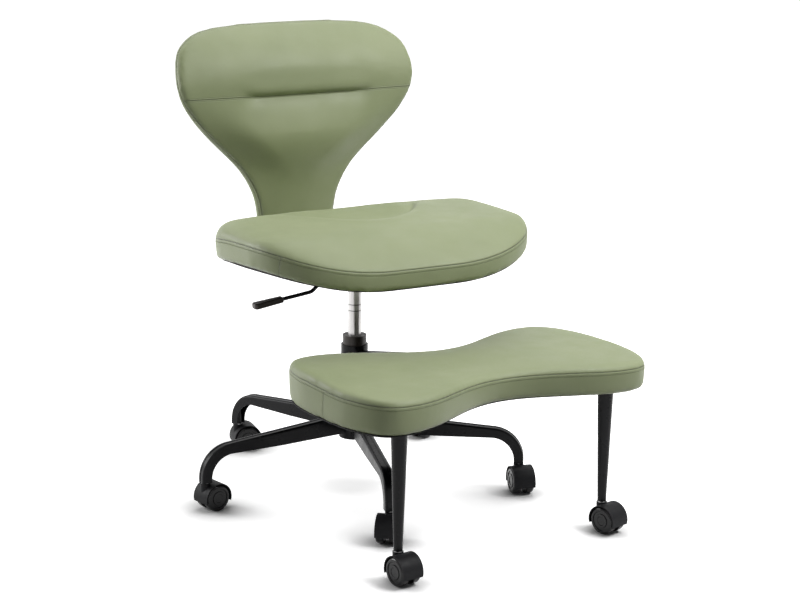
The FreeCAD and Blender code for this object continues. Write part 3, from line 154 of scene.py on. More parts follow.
away_from_camera = Vector((-math.sin(turn), math.cos(turn), 0.0))
lit_point = Vector((0.0, 0.0, 0.45))
for name, across, deep, high, size, power in (
    ("overhead_lamp", 0.9, 1.4, 6.0, 4.8, 160.0),
    ("right_lamp", 2.2, -0.8, 2.9, 1.2, 74.0),
    ("left_lamp", -2.3, 0.4, 1.1, 1.3, 36.0),
    ("front_lamp", 0.8, -3.2, 1.9, 1.6, 2.0),
):
    place = across * aside + deep * away_from_camera + Vector((0.0, 0.0, high))
    bpy.ops.object.light_add(type="AREA", location=place)
    lamp = bpy.context.object
    lamp.name = name
    lamp.data.shape = "SQUARE"
    lamp.data.size = size
    lamp.data.energy = power
    lamp.rotation_euler = (place - lit_point).to_track_quat("Z", "Y").to_euler()

# Base: five pressed steel arms welded to a turned hub, with a tube in each arm's end for a caster stem.
# All of it is powder-coated black in one piece: a fine orange-peel skin, semi-gloss.


def surface(name):
    """A new material, its node tree and its shader."""
    material = bpy.data.materials.new(name)
    material.use_nodes = True
    return material, material.node_tree, material.node_tree.nodes["Principled BSDF"]


def grain(tree, scale, detail=2.0, stretch=(1.0, 1.0, 1.0), roughness=0.5):
    """Noise on the piece's own coordinates, in cycles per metre."""
    place = tree.nodes.new("ShaderNodeTexCoord")
    mapping = tree.nodes.new("ShaderNodeMapping")
    mapping.inputs["Scale"].default_value = stretch
    noise = tree.nodes.new("ShaderNodeTexNoise")
    noise.inputs["Scale"].default_value = scale
    noise.inputs["Detail"].default_value = detail
    noise.inputs["Roughness"].default_value = roughness
    tree.links.new(place.outputs["Object"], mapping.inputs["Vector"])
    tree.links.new(mapping.outputs["Vector"], noise.inputs["Vector"])
    return noise.outputs["Fac"]


def ramp(tree, value, *stops):
    """A value turned into colours: each stop is a position and a grey level or a colour."""
    node = tree.nodes.new("ShaderNodeValToRGB")
    while len(node.color_ramp.elements) < len(stops):
        node.color_ramp.elements.new(0.5)
    for element, (position, tone) in zip(node.color_ramp.elements, stops):
        element.position = position
        element.color = (*tone, 1.0) if hasattr(tone, "__len__") else (tone, tone, tone, 1.0)
    tree.links.new(value, node.inputs["Fac"])
    return node.outputs["Color"]


def relief(tree, shader, height, depth, strength=1.0):
    """Bump of a height map, on top of any bump that the shader already has."""
    bump = tree.nodes.new("ShaderNodeBump")
    bump.inputs["Strength"].default_value = strength
    bump.inputs["Distance"].default_value = depth
    if shader.inputs["Normal"].is_linked:
        tree.links.new(shader.inputs["Normal"].links[0].from_socket, bump.inputs["Normal"])
    tree.links.new(height, bump.inputs["Height"])
    tree.links.new(bump.outputs["Normal"], shader.inputs["Normal"])


def coat(material, *names):
    """The finish of CAD nodes: every material slot of theirs takes it."""
    for name in names:
        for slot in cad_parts[name].material_slots:
            slot.material = material


powder_coat, tree, shader = surface("black_powder_coat")
shader.inputs["Specular IOR Level"].default_value = 0.13
tree.links.new(ramp(tree, grain(tree, 9.0, 3.0),
                    (0.3, (0.0055, 0.0055, 0.0065)), (0.7, (0.0095, 0.0095, 0.011))),
               shader.inputs["Base Color"])
tree.links.new(ramp(tree, grain(tree, 30.0, 4.0), (0.3, 0.24), (0.7, 0.33)), shader.inputs["Roughness"])
relief(tree, shader, grain(tree, 620.0, 2.0), 0.00022, 0.35)
coat(powder_coat, "base_hub", "stem_sockets", *("base_arm_%d" % number for number in range(1, 6)))

# Casters: seven alike, each two hard nylon wheels on a plated steel axle under a moulded hood. The hood is
# matt with a fine spark-eroded skin; the wheels are polished, their roughness varying at random.
bare_steel, tree, shader = surface("zinc_plated_steel")
shader.inputs["Metallic"].default_value = 1.0
tree.links.new(ramp(tree, grain(tree, 60.0, 4.0), (0.3, (0.40, 0.40, 0.41)), (0.7, (0.56, 0.56, 0.56))),
               shader.inputs["Base Color"])
tree.links.new(ramp(tree, grain(tree, 240.0, 3.0), (0.3, 0.26), (0.7, 0.42)), shader.inputs["Roughness"])

hood_plastic, tree, shader = surface("matt_nylon")
shader.inputs["Specular IOR Level"].default_value = 0.15
tree.links.new(ramp(tree, grain(tree, 40.0, 3.0),
                    (0.3, (0.006, 0.006, 0.007)), (0.7, (0.010, 0.010, 0.0115))),
               shader.inputs["Base Color"])
tree.links.new(ramp(tree, grain(tree, 90.0, 2.0), (0.3, 0.46), (0.7, 0.58)), shader.inputs["Roughness"])
relief(tree, shader, grain(tree, 2600.0, 2.0), 0.00012, 0.5)

wheel_plastic, tree, shader = surface("polished_nylon")
shader.inputs["Specular IOR Level"].default_value = 0.28
tree.links.new(ramp(tree, grain(tree, 50.0, 3.0), (0.3, (0.005, 0.005, 0.006)), (0.7, (0.009, 0.009, 0.010))),
               shader.inputs["Base Color"])
tree.links.new(ramp(tree, grain(tree, 160.0, 4.0), (0.35, 0.14), (0.7, 0.26)), shader.inputs["Roughness"])
relief(tree, shader, grain(tree, 900.0, 2.0), 0.00008, 0.3)

for number in range(1, 8):
    coat(hood_plastic, "caster_%d_hood" % number)
    coat(bare_steel, "caster_%d_pins" % number)
    coat(wheel_plastic, "caster_%d_wheel_left" % number, "caster_%d_wheel_right" % number)

# Gas lift: outer tube wedged in the hub and a guide bush in its top, both brown-black and satin, a chromed
# cylinder with two ring grooves, and inside it the ground rod on its bearing.
chrome, tree, shader = surface("polished_chrome")
shader.inputs["Metallic"].default_value = 1.0
place = tree.nodes.new("ShaderNodeTexCoord")
heights = tree.nodes.new("ShaderNodeSeparateXYZ")
tree.links.new(place.outputs["Object"], heights.inputs["Vector"])
tube_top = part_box("outer_tube")[1].z
up_cylinder = tree.nodes.new("ShaderNodeMapRange")
up_cylinder.inputs["From Min"].default_value = tube_top + 0.0505
up_cylinder.inputs["From Max"].default_value = tube_top + 0.0765
tree.links.new(heights.outputs["Z"], up_cylinder.inputs["Value"])
# The two ring grooves are painted near black in the chrome's colour: painted shade in the grooves.
plate = (0.45, 0.44, 0.435)
painted_groove_shade = (0.05, 0.05, 0.05)
tree.links.new(ramp(tree, up_cylinder.outputs["Result"],
                    (0.21, plate), (0.225, painted_groove_shade), (0.275, painted_groove_shade), (0.29, plate),
                    (0.71, plate), (0.725, painted_groove_shade), (0.775, painted_groove_shade), (0.79, plate)),
               shader.inputs["Base Color"])
tree.links.new(ramp(tree, grain(tree, 1.0, 3.0, (900.0, 900.0, 12.0)), (0.3, 0.24), (0.7, 0.38)),
               shader.inputs["Roughness"])

bush_finish, tree, shader = surface("brown_black_satin")
shader.inputs["Specular IOR Level"].default_value = 0.35
tree.links.new(ramp(tree, grain(tree, 45.0, 3.0),
                    (0.3, (0.021, 0.0155, 0.0125)), (0.7, (0.030, 0.0225, 0.018))),
               shader.inputs["Base Color"])
tree.links.new(ramp(tree, grain(tree, 120.0, 2.0), (0.3, 0.36), (0.7, 0.50)), shader.inputs["Roughness"])
relief(tree, shader, grain(tree, 1900.0, 2.0), 0.00012, 0.4)

coat(bush_finish, "outer_tube", "guide_bush", "sleeve_washer")
coat(bare_steel, "thrust_bearing", "piston_rod", "rod_clip", "release_pin")
coat(chrome, "gas_cylinder")

# Footrest frame: a sleeve that turns on the column, welded to a delta-shaped plate, and two tapered legs
# screwed on through their flanges. Powder-coated like the base.
coat(powder_coat, "footrest_bracket", "footrest_leg_left", "footrest_leg_right")
coat(bare_steel, "footrest_screws")

# Footrest board: beech plywood cut to the waisted outline, seven plies, sanded raw. The upholstery hides it.
plywood, tree, shader = surface("beech_plywood")
place = tree.nodes.new("ShaderNodeTexCoord")
plies = tree.nodes.new("ShaderNodeTexWave")
plies.bands_direction = "Z"
plies.inputs["Scale"].default_value = 92.0
plies.inputs["Distortion"].default_value = 0.5
tree.links.new(place.outputs["Object"], plies.inputs["Vector"])
tree.links.new(ramp(tree, plies.outputs["Fac"], (0.2, (0.50, 0.35, 0.20)), (0.8, (0.64, 0.48, 0.31))),
               shader.inputs["Base Color"])
tree.links.new(ramp(tree, grain(tree, 30.0, 4.0, (1.0, 12.0, 1.0)), (0.3, 0.55), (0.7, 0.75)),
               shader.inputs["Roughness"])
relief(tree, shader, grain(tree, 60.0, 4.0, (1.0, 14.0, 1.0)), 0.0003, 0.4)
coat(plywood, "footrest_board")

# Footrest liner: black non-woven cloth stapled under the board, hanging a little slack between its edge
# and the steel that is screwed on through it.
liner_cloth, tree, shader = surface("non_woven_cloth")
fibres = grain(tree, 900.0, 5.0, (1.0, 0.25, 1.0), 0.7)
tree.links.new(ramp(tree, fibres, (0.35, (0.008, 0.008, 0.009)), (0.7, (0.026, 0.026, 0.028))),
               shader.inputs["Base Color"])
shader.inputs["Roughness"].default_value = 0.92
shader.inputs["Sheen Weight"].default_value = 0.15
relief(tree, shader, fibres, 0.0003, 0.6)


def tree_of(name):
    """Search tree of a CAD node's mesh."""
    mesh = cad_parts[name].data
    return BVHTree.FromPolygons([v.co for v in mesh.vertices], [p.vertices for p in mesh.polygons])


def fade(value):
    """Smooth step from 0 to 1."""
    held = np.clip(value, 0.0, 1.0)
    return held * held * (3.0 - 2.0 * held)


def only(piece):
    """Selects one piece and makes it active."""
    bpy.ops.object.select_all(action="DESELECT")
    piece.select_set(True)
    bpy.context.view_layer.objects.active = piece


def places_of(piece):
    """The piece's vertices as an array of metres."""
    flat = np.empty(len(piece.data.vertices) * 3)
    piece.data.vertices.foreach_get("co", flat)
    return flat.reshape(-1, 3)


def put(piece, places):
    """Moves the piece's vertices."""
    piece.data.vertices.foreach_set("co", np.ascontiguousarray(places).ravel())
    piece.data.update()


def copy_of(node, name):
    """A new piece with a node's mesh, its loose triangles merged."""
    piece = bpy.data.objects.new(name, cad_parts[node].data.copy())
    scene.collection.objects.link(piece)
    only(piece)
    bpy.ops.object.mode_set(mode="EDIT")
    bpy.ops.mesh.select_all(action="SELECT")
    bpy.ops.mesh.remove_doubles(threshold=0.00005)
    bpy.ops.object.mode_set(mode="OBJECT")
    return piece


liner_slack = 0.0025
liner_thickness = 0.0006
cut_pitch = 0.018


def hang_liner(node, name, body, pressed_by):
    """Cloth cut from the liner's underside, which sags except at its edge and where steel presses it."""
    cloth = copy_of(node, name)
    bpy.ops.object.mode_set(mode="EDIT")
    bpy.ops.mesh.select_mode(type="FACE")
    bpy.ops.mesh.select_all(action="DESELECT")
    bpy.ops.object.mode_set(mode="OBJECT")
    for face in cloth.data.polygons:
        face.select = face.normal.z > -0.5
    bpy.ops.object.mode_set(mode="EDIT")
    bpy.ops.mesh.delete(type="FACE")
    low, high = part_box(node)
    for axis in (0, 1):
        across = Vector((float(axis == 0), float(axis == 1), 0.0))
        for step in range(1, int((high[axis] - low[axis]) / cut_pitch) + 1):
            bpy.ops.mesh.select_all(action="SELECT")
            bpy.ops.mesh.bisect(plane_co=across * (low[axis] + cut_pitch * step), plane_no=across)
    bpy.ops.object.mode_set(mode="OBJECT")
    places = places_of(cloth)
    uses = {}
    for face in cloth.data.polygons:
        for key in face.edge_keys:
            uses[key] = uses.get(key, 0) + 1
    rim = sorted({v for key, count in uses.items() if count == 1 for v in key})
    steel = [tree_of(other) for other in pressed_by]
    down = Vector((0.0, 0.0, -1.0))
    for index, place in enumerate(places):
        above = Vector(place) + Vector((0.0, 0.0, 0.004))
        if any(tree.ray_cast(above, down, 0.009)[0] for tree in steel):
            rim.append(index)
    fixed = KDTree(len(rim))
    for index in rim:
        fixed.insert(places[index], index)
    fixed.balance()
    reach = np.array([fixed.find(place)[2] for place in places])
    places[:, 2] -= liner_slack * fade(reach / 0.055)
    put(cloth, places)
    wall = cloth.modifiers.new("Thickness", "SOLIDIFY")
    wall.thickness = liner_thickness
    wall.offset = -1.0
    bpy.ops.object.modifier_apply(modifier=wall.name)
    bpy.ops.object.shade_smooth_by_angle(angle=math.radians(40))
    cloth.data.materials.clear()
    cloth.data.materials.append(liner_cloth)
    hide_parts(node)
    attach(cloth, body)


hang_liner("footrest_liner", "footrest_dust_cover", "footrest",
           ("footrest_bracket", "footrest_leg_left", "footrest_leg_right"))

# Footrest cushion: foam over the board in sage-green leather, a top panel sewn to a boxing band with a
# felled seam. The seam shows as two fine lines, the fold and a row of stitches under it.
cushion_voxel = 0.006
outside_growth = 0.0008
swell_limit = 0.0025
seam_pitch = 0.0008
stitch_pitch = 0.0042
stitch_length = 0.0031
stitch_thickness = 0.0009
stitch_drop = 0.0065


def normals_of(piece):
    """The piece's vertex normals as an array."""
    flat = np.empty(len(piece.data.vertices) * 3)
    piece.data.vertices.foreach_get("normal", flat)
    return flat.reshape(-1, 3)


def against(piece, boards):
    """Says of each vertex whether it lies against one of the boards."""
    near = [tree_of(board) for board in boards]
    reach = 0.006
    return np.array([any(board.find_nearest(v.co, reach)[0] for board in near) for v in piece.data.vertices])


def padding_of(node, name, boards):
    """A closed, even mesh of a cushion's solid with soft edges, brought back out to the solid's size."""
    cushion = copy_of(node, name)
    even = cushion.modifiers.new("Even mesh", "REMESH")
    even.mode = "VOXEL"
    even.voxel_size = cushion_voxel
    bpy.ops.object.modifier_apply(modifier=even.name)
    rounded = cushion.modifiers.new("Rounding", "SMOOTH")
    rounded.factor = 0.5
    rounded.iterations = 4
    bpy.ops.object.modifier_apply(modifier=rounded.name)
    normals = normals_of(cushion)
    outside = (1.0 - fade((-normals[:, 2] - 0.3) / 0.4)) * ~against(cushion, boards)
    put(cushion, places_of(cushion) + outside_growth * outside[:, None] * normals)
    cushion.data.materials.clear()
    return cushion


def even_path(points):
    """Points at the seams' even pitch along a closed line."""
    line = np.array([*points, points[0]], float)
    runs = np.linalg.norm(np.diff(line, axis=0), axis=1)
    along = np.concatenate(([0.0], np.cumsum(runs)))
    count = int(round(along[-1] / seam_pitch))
    spots = np.linspace(0.0, along[-1], count, endpoint=False)
    return np.stack([np.interp(spots, along, line[:, axis]) for axis in range(3)], axis=1)


def seam_tree(points):
    """Search tree of a seam's points."""
    found = KDTree(len(points))
    for index, point in enumerate(points):
        found.insert(point, index)
    found.balance()
    return found


def on_cover(piece, points):
    """The points of a line moved to the nearest places on a piece."""
    mesh = piece.data
    skin = BVHTree.FromPolygons([v.co for v in mesh.vertices], [p.vertices for p in mesh.polygons])
    return np.array([skin.find_nearest(Vector(point))[0] for point in points])


def fill_out(cushion, seams, boards):
    """Pressure from inside, held at the seams and against the boards: a taut, even swell up to the limit."""
    before = places_of(cushion)
    normals = normals_of(cushion)
    sewn = np.array([any(seam.find(place)[2] < 0.004 for seam in seams) for place in before])
    held = np.flatnonzero(sewn | against(cushion, boards))
    group = cushion.vertex_groups.new(name="held")
    group.add(held.tolist(), 1.0, "REPLACE")
    only(cushion)
    cloth = cushion.modifiers.new("Filling", "CLOTH")
    cloth.settings.quality = 5
    cloth.settings.mass = 0.4
    cloth.settings.tension_stiffness = 18.0
    cloth.settings.compression_stiffness = 18.0
    cloth.settings.shear_stiffness = 8.0
    cloth.settings.bending_stiffness = 1.2
    cloth.settings.use_pressure = True
    cloth.settings.uniform_pressure_force = 4.0
    cloth.settings.vertex_group_mass = group.name
    cloth.settings.effector_weights.gravity = 0.0
    steps = 20
    cloth.point_cache.frame_end = steps
    for step in range(1, steps + 1):
        scene.frame_set(step)
    bpy.ops.object.modifier_apply(modifier=cloth.name)
    scene.frame_set(1)
    cushion.vertex_groups.clear()
    swell = np.clip(((places_of(cushion) - before) * normals).sum(axis=1), 0.0, 3.0 * swell_limit)
    ends = np.empty(len(cushion.data.edges) * 2, np.int32)
    cushion.data.edges.foreach_get("vertices", ends)
    ends = ends.reshape(-1, 2)
    here, beside = np.concatenate((ends, ends[:, ::-1])).T
    shared = np.bincount(here, minlength=len(swell))
    evening_rounds = 80
    for _ in range(evening_rounds):
        swell = 0.5 * swell + 0.5 * np.bincount(here, swell[beside], len(swell)) / shared
        swell[held] = 0.0
    put(cushion, before + (swell_limit * np.tanh(swell / swell_limit))[:, None] * normals)


def finer(cushion):
    """One round of subdivision, smooth shaded."""
    only(cushion)
    smooth = cushion.modifiers.new("Smooth", "SUBSURF")
    smooth.levels = 1
    smooth.render_levels = 1
    bpy.ops.object.modifier_apply(modifier=smooth.name)
    bpy.ops.object.shade_smooth()


def note(cushion, name, values):
    """Keeps one number for each vertex, for the leather to read."""
    kept = cushion.data.attributes.new(name, "FLOAT", "POINT")
    kept.data.foreach_set("value", np.asarray(values, np.float32))


def from_seam(cushion, seam, upper):
    """How far each vertex is from a seam and along it, in millimetres; upper says which side is positive."""
    places = places_of(cushion)
    found = seam_tree(seam)
    away = np.empty(len(places))
    along = np.empty(len(places))
    for index, place in enumerate(places):
        point, number, distance = found.find(place)
        away[index] = 1000.0 * distance * (1.0 if upper(place - seam[number]) else -1.0)
        along[index] = 1000.0 * seam_pitch * number
    return away, along


def stitch_row(name, line):
    """Stitches along a closed line: one sewn loop, repeated and bent along the line."""
    trace = bpy.data.curves.new(name + "_line", "CURVE")
    trace.dimensions = "3D"
    spline = trace.splines.new("POLY")
    spline.points.add(len(line) - 1)
    for point, place in zip(spline.points, line):
        point.co = (*place, 1.0)
    spline.use_cyclic_u = True
    guide = bpy.data.objects.new(name + "_line", trace)
    scene.collection.objects.link(guide)
    bpy.ops.object.select_all(action="DESELECT")
    bpy.ops.mesh.primitive_uv_sphere_add(segments=6, ring_count=4, radius=0.5)
    row = bpy.context.object
    row.name = name
    row.scale = (stitch_length, stitch_thickness, stitch_thickness)
    bpy.ops.object.transform_apply(scale=True)
    repeat = row.modifiers.new("Repeat", "ARRAY")
    repeat.fit_type = "FIT_CURVE"
    repeat.curve = guide
    repeat.use_relative_offset = False
    repeat.use_constant_offset = True
    repeat.constant_offset_displace = (stitch_pitch, 0.0, 0.0)
    follow = row.modifiers.new("Follow", "CURVE")
    follow.object = guide
    bpy.ops.object.modifier_apply(modifier=repeat.name)
    bpy.ops.object.modifier_apply(modifier=follow.name)
    bpy.ops.object.shade_smooth()
    bpy.data.objects.remove(guide)
    row.data.materials.clear()
    row.data.materials.append(thread)
    return row


def joint_measure(cushion, seam, away, along, joint_place):
    """Notes how far along the band each of its vertices is from the band's upright joint."""
    nearest = np.argmin(np.linalg.norm(seam - np.array(joint_place), axis=1))
    off_band = 50.0
    note(cushion, "joint_away", np.where(away < 0, along - 1000.0 * seam_pitch * nearest, off_band))


leather, tree, shader = surface("sage_leather")
shader.inputs["Specular IOR Level"].default_value = 0.45
shader.inputs["Sheen Weight"].default_value = 0.10
shader.inputs["Sheen Roughness"].default_value = 0.45


def measure(tree, name, low, high):
    """A kept number, brought to the range 0 to 1."""
    kept = tree.nodes.new("ShaderNodeAttribute")
    kept.attribute_name = name
    scaled = tree.nodes.new("ShaderNodeMapRange")
    scaled.inputs["From Min"].default_value = low
    scaled.inputs["From Max"].default_value = high
    tree.links.new(kept.outputs["Fac"], scaled.inputs["Value"])
    return scaled.outputs["Result"]


def blended(tree, kind, first, second):
    """Two colours multiplied or added."""
    mix = tree.nodes.new("ShaderNodeMix")
    mix.data_type = "RGBA"
    mix.blend_type = kind
    mix.inputs["Factor"].default_value = 1.0
    tree.links.new(first, mix.inputs["A"])
    tree.links.new(second, mix.inputs["B"])
    return mix.outputs["Result"]


hide = ramp(tree, grain(tree, 7.0, 4.0, roughness=0.6),
            (0.3, (0.285, 0.330, 0.172)), (0.7, (0.325, 0.370, 0.200)))
# seam_shade darkens the colour in the seam's fold and at the row of stitches under it, and joint_shade at the
# band's upright joint and in the back's crease: painted shade in these folds.
across_seam = measure(tree, "seam_away", -14.0, 6.0)
seam_shade = ramp(tree, across_seam, (0.30, 1.0), (0.345, 0.92), (0.375, 0.55), (0.405, 0.95),
                  (0.62, 1.0), (0.672, 0.80), (0.70, 0.22), (0.728, 0.80), (0.80, 1.0))
across_joint = measure(tree, "joint_away", -10.0, 10.0)
joint_shade = ramp(tree, across_joint, (0.30, 1.0), (0.33, 0.75), (0.36, 1.0), (0.455, 0.95),
                   (0.50, 0.28), (0.545, 0.95), (0.64, 1.0), (0.67, 0.75), (0.70, 1.0))
tree.links.new(blended(tree, "MULTIPLY", blended(tree, "MULTIPLY", hide, seam_shade), joint_shade),
               shader.inputs["Base Color"])
tree.links.new(ramp(tree, grain(tree, 22.0, 4.0), (0.3, 0.40), (0.7, 0.52)), shader.inputs["Roughness"])
pores = tree.nodes.new("ShaderNodeTexVoronoi")
pores.feature = "DISTANCE_TO_EDGE"
pores.inputs["Scale"].default_value = 620.0
pores.inputs["Randomness"].default_value = 0.95
place = tree.nodes.new("ShaderNodeTexCoord")
tree.links.new(place.outputs["Object"], pores.inputs["Vector"])
relief(tree, shader, ramp(tree, pores.outputs["Distance"], (0.0, 0.0), (0.12, 0.8), (0.35, 1.0)),
       0.00016, 0.55)
relief(tree, shader, grain(tree, 150.0, 4.0), 0.00035, 0.35)
relief(tree, shader, ramp(tree, across_seam, (0.26, 0.55), (0.34, 0.52), (0.375, 0.30), (0.41, 0.55),
                          (0.55, 0.68), (0.66, 0.52), (0.70, 0.0), (0.735, 0.42), (0.84, 0.55)), 0.0032, 1.0)
relief(tree, shader, ramp(tree, across_joint, (0.28, 0.55), (0.33, 0.38), (0.38, 0.60), (0.46, 0.50),
                          (0.50, 0.0), (0.54, 0.50), (0.62, 0.60), (0.67, 0.38), (0.72, 0.55)), 0.0022, 1.0)

thread, tree, shader = surface("sewing_thread")
tree.links.new(ramp(tree, grain(tree, 900.0, 2.0),
                    (0.3, (0.16, 0.19, 0.085)), (0.7, (0.24, 0.275, 0.135))),
               shader.inputs["Base Color"])
shader.inputs["Roughness"].default_value = 0.7
relief(tree, shader, grain(tree, 2500.0, 1.0), 0.0001, 0.5)

foot_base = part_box("footrest_board")[0].z
foot_seam_height = foot_base + 0.047
foot_middle = -0.389
foot_half_length = 0.350
foot_lobe = 0.262
foot_lobe_depth = 0.177
foot_waist_depth = 0.100
foot_end_power = 2.65
foot_swing = Matrix.Rotation(math.radians(6.3), 3, "Z")
foot_fuller = 0.0040
foot_rear_fuller = 0.0030
foot_right_fuller = 0.0020
foot_waist_sunk = 0.0050
foot_tip = 0.0060
foot_shift = 0.0055


def foot_half_depth(x):
    """Half the footrest's depth at x: two lobes, a waist between them and rounded ends."""
    past = (abs(x) - foot_lobe) / (foot_half_length - foot_lobe)
    if past > 0:
        return foot_lobe_depth * (1 - min(past, 1.0) ** foot_end_power) ** (1 / foot_end_power)
    widening = (1 - math.cos(math.pi * x / foot_lobe)) / 2
    return foot_waist_depth + (foot_lobe_depth - foot_waist_depth) * widening


def foot_outline():
    """The footrest's seam in plan, from the rear of the waist and round."""
    end = foot_half_length - foot_lobe
    reach = [foot_lobe * i / 60 for i in range(60)]
    reach += [foot_lobe + end * math.sin(math.pi / 2 * i / 60) ** (2 / foot_end_power) for i in range(61)]
    rear = [(x, foot_middle + foot_half_depth(x)) for x in reach]
    front = [(x, foot_middle - foot_half_depth(x)) for x in reversed(reach)]
    left = rear + front
    right = [(-x, y) for x, y in reversed(left[1:-1])]
    return left + right


def foot_drawn(places):
    """The cover as pulled over the foam: fuller at the rear and the sitter's right, lower at the left."""
    flat = places @ np.array(foot_swing)
    share = flat[:, 0] / 0.30
    to_rear = fade((flat[:, 1] - foot_middle + 0.06) / 0.12)
    waist = fade(1.0 - np.abs(flat[:, 0]) / 0.17)
    fuller = foot_fuller + foot_rear_fuller * to_rear * (1.0 - share) - foot_right_fuller * share
    fuller -= foot_waist_sunk * waist * (1.0 - to_rear)
    up_band = flat[:, 2] - foot_base
    tipped = -foot_tip * share
    flat[:, 0] += foot_shift
    flat[:, 2] += fuller * fade((up_band - 0.015) / 0.05)
    flat[:, 2] += np.where(tipped < 0, tipped, tipped * fade(up_band / 0.035))
    return flat @ np.array(foot_swing).T


foot_line = [foot_swing @ Vector((x, y, foot_seam_height)) for x, y in foot_outline()]
footrest = padding_of("footrest_cushion", "footrest_padding", ["footrest_board"])
foot_seam = on_cover(footrest, even_path(foot_line))
fill_out(footrest, [seam_tree(foot_seam)], ["footrest_board"])
finer(footrest)
put(footrest, foot_drawn(places_of(footrest)))
foot_seam = on_cover(footrest, foot_drawn(even_path(foot_line)))
away, along = from_seam(footrest, foot_seam, lambda step: step[2] > 0)
note(footrest, "seam_away", away)
joint_measure(footrest, foot_seam, away, along, foot_swing @ Vector((-0.345, -0.40, foot_seam_height)))
footrest.data.materials.append(leather)
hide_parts("footrest_cushion")
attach(footrest, "footrest")
below_seam = np.array((0.0, 0.0, stitch_drop))
stitches = stitch_row("footrest_stitching", on_cover(footrest, foot_seam[::5] - below_seam))
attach(stitches, "footrest")

# Lift plate: pressed steel with the taper socket that grips the gas lift, bolted up into the seat board.
coat(powder_coat, "lift_plate")

# Lever: a bent rod through the plate's housing, which lifts at its grip and presses the valve pin.
coat(powder_coat, "lever_rod")
coat(bush_finish, "lever_grip")

# Seat board and liner: bent beech plywood, covered below with the same black cloth as the footrest.
coat(plywood, "seat_board")
hang_liner("seat_liner", "seat_dust_cover", "seat", ("lift_plate", "back_bar"))

# Seat cushion: thick foam with a level top over the bent board and a shallow scoop, in the same leather.
# The band is sewn to the top panel with the same felled seam and closed by one upright joint at the right.
seat_height = 0.4726
seat_tip = Matrix.Rotation(math.radians(-4.4), 3, "X")
seat_middle = -0.065
seat_half_width = 0.312
seat_rear_depth = 0.230
seat_front_depth = 0.241
seat_rear_power = 2.6
seat_front_power = 3.2
seat_flat_half = 0.075
seat_bend_radius = 0.551
seat_seam_rise = 0.039


def seat_point(x, y, above):
    """A point of the seat's own frame, placed in the chair."""
    return seat_tip @ Vector((x, y, above)) + Vector((0.0, 0.0, seat_height))


def seat_bend(x):
    """Rise of the bent board at x."""
    past = max(abs(x) - seat_flat_half, 0.0)
    return seat_bend_radius - math.sqrt(seat_bend_radius ** 2 - past ** 2)


def seat_outline(steps=240):
    """The seat's seam in plan, from the rear and round."""
    points = []
    for i in range(steps):
        angle = 2 * math.pi * i / steps + math.pi / 2
        at_rear = math.sin(angle) > 0
        depth = seat_rear_depth if at_rear else seat_front_depth
        power = seat_rear_power if at_rear else seat_front_power
        x = seat_half_width * math.copysign(abs(math.cos(angle)) ** (2 / power), math.cos(angle))
        y = seat_middle + depth * math.copysign(abs(math.sin(angle)) ** (2 / power), math.sin(angle))
        points.append((x, y))
    return points


seat_line = [seat_point(x, y, seat_bend(x) + seat_seam_rise) for x, y in seat_outline()]
seat = padding_of("seat_cushion", "seat_padding", ["seat_board"])
seat_seam = on_cover(seat, even_path(seat_line))
fill_out(seat, [seam_tree(seat_seam)], ["seat_board"])
finer(seat)
places = places_of(seat)
across, deep, high = ((places - np.array((0.0, 0.0, seat_height))) @ np.array(seat_tip)).T
lip_front = 0.130
lip_curve = 5.3
lip_width = 0.018
lip_height = 0.003
scoop_depth = 0.015
rim_middle = 0.003
rim_sides = -0.003
behind_lip = deep + lip_front - lip_curve * across ** 2
behind_lip /= np.sqrt(1.0 + (2.0 * lip_curve * across) ** 2)
scooped = scoop_depth * fade(behind_lip / lip_width)
scooped -= lip_height * np.exp(-((behind_lip + 0.010) / 0.016) ** 2)
scooped *= 1.0 - fade((deep + 0.04) / 0.095)
rear_rim = rim_middle + (rim_sides - rim_middle) * fade((np.abs(across) - 0.06) / 0.12)
rear_rim *= fade((deep - 0.03) / 0.08)
places[:, 2] += (rear_rim - scooped) * fade((high - 0.060) / 0.02)
put(seat, places)
seat_seam = on_cover(seat, even_path(seat_line))
away, along = from_seam(seat, seat_seam, lambda step: step[2] > 0)
note(seat, "seam_away", away)
joint_measure(seat, seat_seam, away, along, seat_point(-0.28, -0.229, seat_bend(0.28) + seat_seam_rise))
seat.data.materials.append(leather)
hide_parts("seat_cushion")
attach(seat, "seat")
stitches = stitch_row("seat_stitching", on_cover(seat, seat_seam[::5] - below_seam))
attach(stitches, "seat")

# Back frame: a flat steel bar bent up from under the seat, bolted to a plywood board inside the back.
coat(powder_coat, "back_bar")
coat(plywood, "back_board")
coat(bare_steel, "frame_bolts")

# Back cushion: two foam pads in one cover, the upper rolled over the lower at a sewn crease, with a band
# round the edge. The crease is pulled deep in the middle and runs out to a plain seam at each side.
back_front = 0.263
crease_rise = 0.333
crease_height = seat_height + crease_rise
crease_forward = 0.0165
top_lean = 0.069
upper_rounding = 0.012
# Each pair is a rise above the seat's board and the back's half width there.
back_sides = ((0.003, 0.079), (0.030, 0.082), (0.070, 0.087), (0.105, 0.093), (0.135, 0.106),
              (0.166, 0.126), (0.201, 0.159), (0.240, 0.200), (0.280, 0.237), (0.312, 0.2595),
              (0.333, 0.2695), (0.350, 0.274), (0.378, 0.276), (0.410, 0.2705), (0.430, 0.261),
              (0.443, 0.247), (0.4545, 0.229), (0.4635, 0.206), (0.4705, 0.167), (0.4755, 0.108))


def back_curve(rise):
    """How far the back stands behind its foot at a rise: forward at the crease, leaning back above it."""
    forward = crease_forward * fade((rise - 0.150) / (crease_rise - 0.150))
    to_top = np.maximum((rise - crease_rise) / (back_sides[-1][0] - crease_rise), 0.0)
    return top_lean * to_top ** 1.9 - forward


def seam_front(rise):
    """How far back the band's front seam lies at a rise: further where the upper pad is rounded."""
    return back_front + back_curve(rise) + upper_rounding * fade((rise - 0.27) / 0.09)


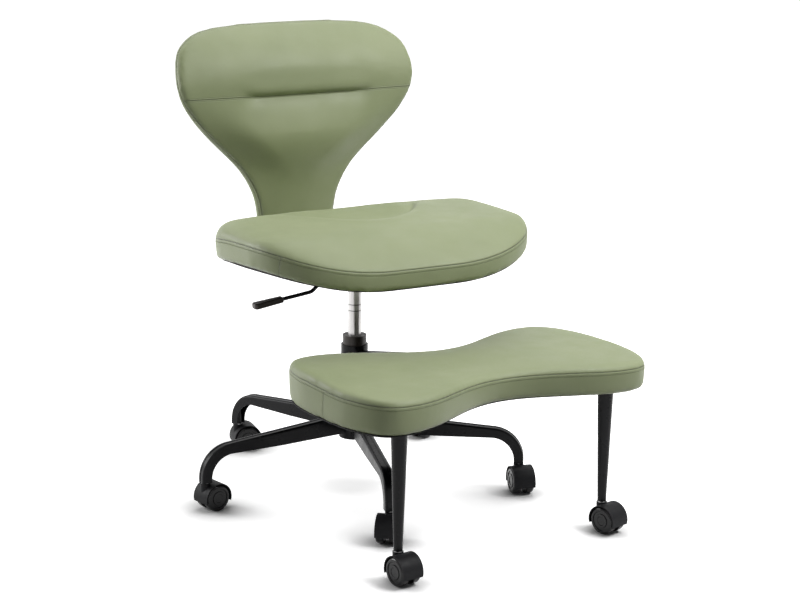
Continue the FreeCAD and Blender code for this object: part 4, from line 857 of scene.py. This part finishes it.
back_left = [Vector((width, seam_front(rise), seat_height + rise)) for rise, width in back_sides]
back_line = back_left + [Vector((-point.x, point.y, point.z)) for point in reversed(back_left)]
back = padding_of("back_cushion", "back_padding", ["back_board", "back_bar"])
back_seam = on_cover(back, even_path(back_line))
crease_front = back_front + back_curve(crease_rise)
crease_line = [Vector((x / 500.0, crease_front - 0.002, crease_height)) for x in range(-140, 141)]
crease = on_cover(back, crease_line)
fill_out(back, [seam_tree(back_seam), seam_tree(crease)], ["back_board", "back_bar"])
finer(back)
places = places_of(back)
set_back = places[:, 1] - back_front - back_curve(places[:, 2] - seat_height)
faces_front = fade((-normals_of(back)[:, 1] - 0.1) / 0.4) * fade((0.012 - set_back) / 0.01)
above = places[:, 2] - crease_height
half_width = np.interp(places[:, 2] - seat_height, *np.array(back_sides).T)
from_edge = half_width - np.abs(places[:, 0])
lower_fullness = 0.019
crease_depth = 0.0105
crease_half_width = 0.168
roll_forward = 0.006
roll_down = 0.008
band_flare = 0.0035
lower_pad = fade(from_edge / 0.11) * np.exp(-((above + 0.105) / 0.068) ** 2)
places[:, 1] -= lower_fullness * lower_pad * faces_front
pulled = fade((crease_half_width - np.abs(places[:, 0] - 0.015)) / 0.06)
flank = np.exp(-np.abs(above / np.where(above > 0, 0.019, 0.017)) ** 1.2)
places[:, 1] += crease_depth * pulled * flank * faces_front
rolled = np.exp(-((above - 0.017) / 0.016) ** 2) * pulled * faces_front
places[:, 1] -= roll_forward * rolled
places[:, 2] -= roll_down * rolled
on_band = fade((set_back - 0.002) / 0.014) * fade((0.030 - from_edge) / 0.02)
places[:, 0] += band_flare * np.sign(places[:, 0]) * on_band
put(back, places)
back_seam = on_cover(back, even_path(back_line))
away, along = from_seam(back, back_seam, lambda step: step[1] < 0)
no_seam = 50.0
note(back, "seam_away", np.clip(away, -13.0, no_seam))
# Here joint_away is measured from the crease, which the leather darkens with painted shade.
note(back, "joint_away", np.where(faces_front > 0.02, 1000.0 * above, no_seam))
back.data.materials.append(leather)
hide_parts("back_cushion")
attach(back, "seat")
behind_seam = np.array((0.0, stitch_drop, 0.0))
stitches = stitch_row("back_stitching", on_cover(back, back_seam[::5] + behind_seam))
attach(stitches, "seat")
